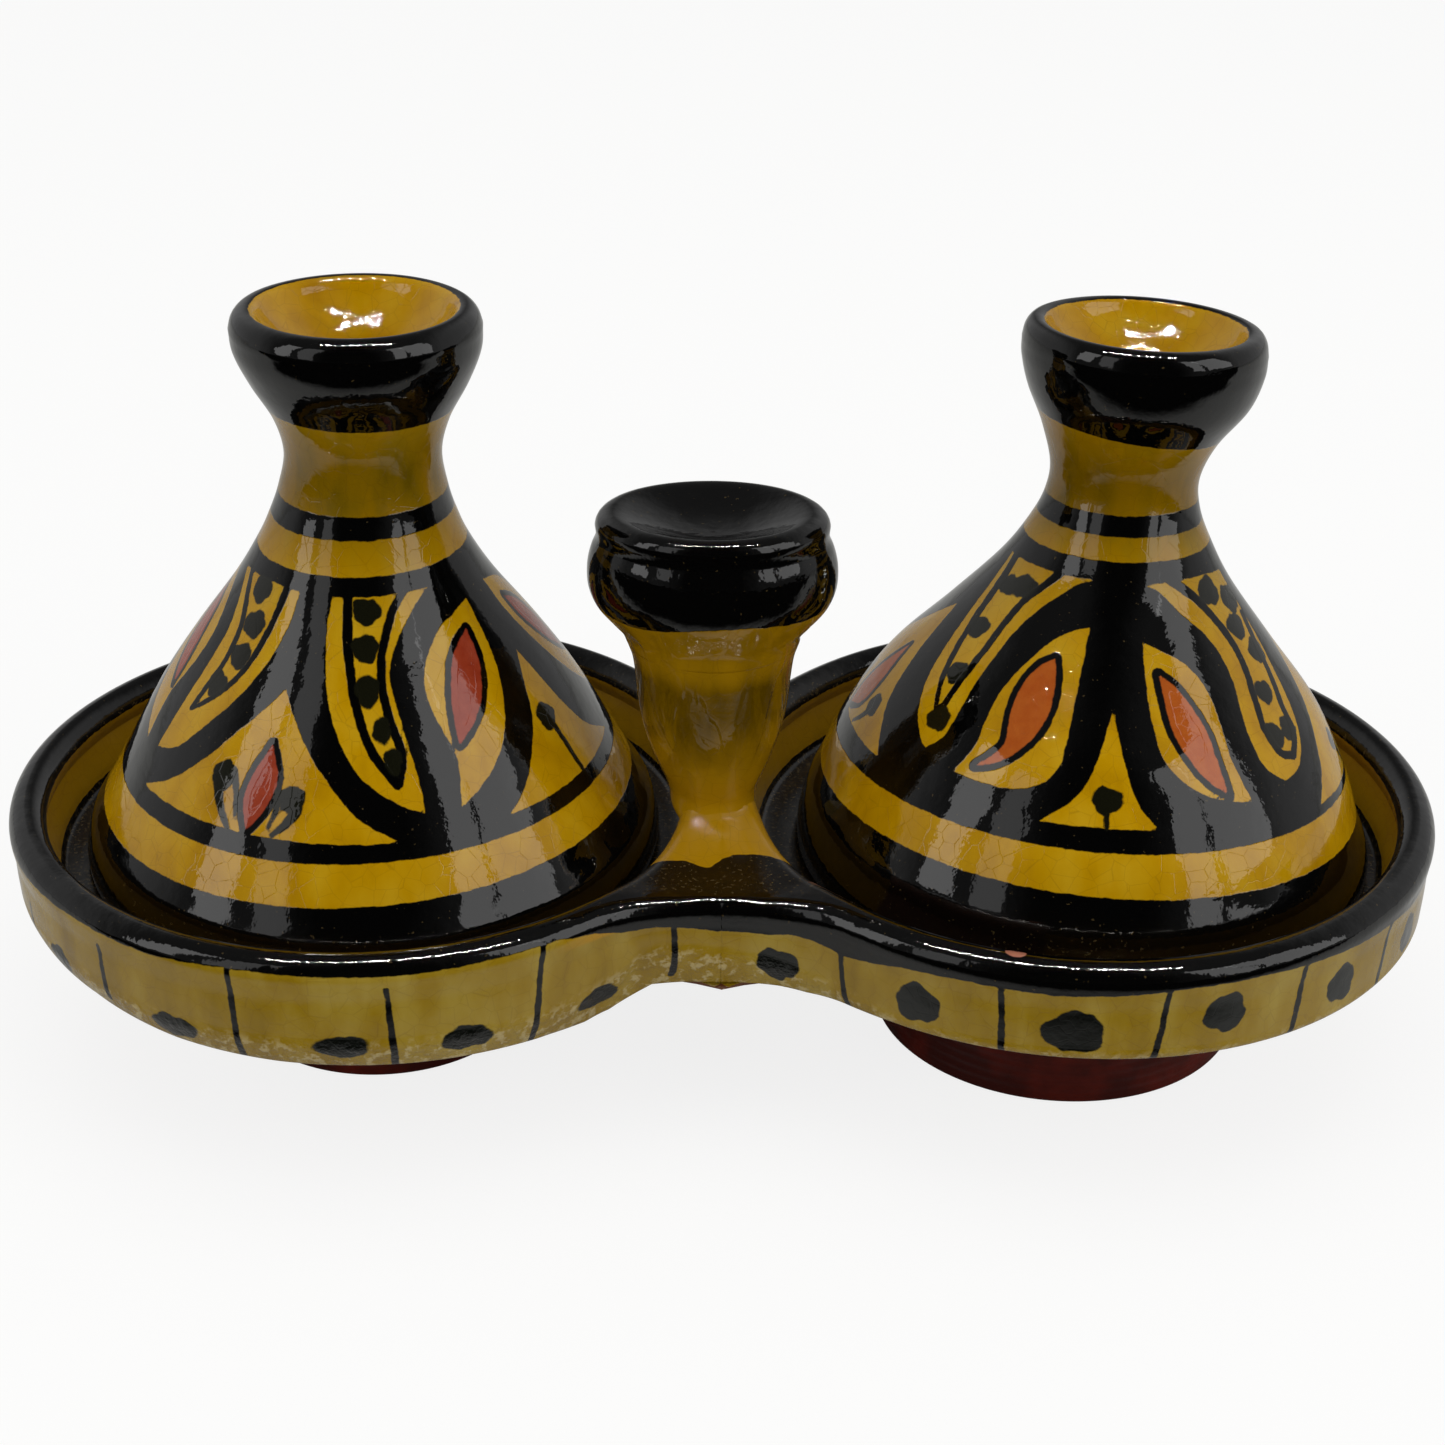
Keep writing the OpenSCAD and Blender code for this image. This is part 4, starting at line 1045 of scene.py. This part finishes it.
def addLampString():
    # two straight rows of small bulbs overhead, a little in front: beads of light on the curved glaze
    bulbs = {"count": 11, "halfLength": 0.34, "rows": (-0.09, -0.15), "height": 1.0, "size": 0.011,
             "glow": 1500.0}
    corners = np.array([(-1, -1, 0), (-1, 1, 0), (1, 1, 0), (1, -1, 0)]) * bulbs["size"] / 2
    across = np.linspace(-1, 1, bulbs["count"]) * bulbs["halfLength"]
    places = [(x, y, bulbs["height"]) for y in bulbs["rows"] for x in across]
    points = np.vstack([corners + np.array(place) for place in places])
    mesh = bpy.data.meshes.new("lampString")
    mesh.from_pydata(points.tolist(), [], np.arange(len(points)).reshape(-1, 4).tolist())
    material, tree = newMaterial("warmBulbs")
    glow = addNode(tree, "ShaderNodeEmission", {},
                   {"Color": (1, 0.97, 0.9, 1), "Strength": bulbs["glow"]})
    addNode(tree, "ShaderNodeOutputMaterial", {}, {"Surface": glow.outputs[0]})
    mesh.materials.append(material)
    lamps = bpy.data.objects.new("lampString", mesh)
    bpy.context.scene.collection.objects.link(lamps)
    lamps.visible_diffuse = False
    lamps.visible_shadow = False


def placeCamera():
    # camera 0.32 m in front and 0.21 m up, looking down 29.2 degrees
    view = {"place": (-1.02, -317.90, 212.61), "down": 29.19, "roll": 0.52, "frame": 1445,
            "focal": 2600.05, "middle": (714.85, 785.94)}
    data = bpy.data.cameras.new("camera")
    data.sensor_width = 36.0
    data.lens = view["focal"] * data.sensor_width / view["frame"]
    data.shift_x = (view["frame"] / 2 - view["middle"][0]) / view["frame"]
    data.shift_y = (view["middle"][1] - view["frame"] / 2) / view["frame"]
    data.clip_start, data.clip_end = 0.02, 20.0
    camera = bpy.data.objects.new("camera", data)
    bpy.context.scene.collection.objects.link(camera)
    down, roll = math.radians(view["down"]), math.radians(view["roll"])
    right, up = np.array([1.0, 0, 0]), np.array([0, math.sin(down), math.cos(down)])
    turn, tilt = math.cos(roll), math.sin(roll)
    right, up = turn * right + tilt * up, -tilt * right + turn * up
    back = np.cross(right, up)
    matrix = Matrix.Identity(4)
    for column, axis in enumerate((right, up, back, np.array(view["place"]) * mm)):
        for row in range(3):
            matrix[row][column] = axis[row]
    camera.matrix_world = matrix
    bpy.context.scene.camera = camera


# the panes of two windows: degrees round to the right, width in metres, and glow
windowPanes = {"windowLeftA": (-40, 0.26, 0.8), "windowLeftB": (-63, 0.30, 1.8),
               "windowRightA": (46, 0.26, 1.6), "windowRightB": (68, 0.50, 1.6)}
makeFloor()
makeSky()
for name, (azimuth, width, glow) in windowPanes.items():
    addSoftbox(name, azimuth, 26, 1.15, width, 0.85, glow)
addSoftbox("overhead", 0, 88, 1.2, 1.3, 1.0, 0.85, shines=False)
addLampString()
placeCamera()
print("floor, lights and camera placed")
bpy.context.scene.view_settings.view_transform = "Standard"

print("scene ready")
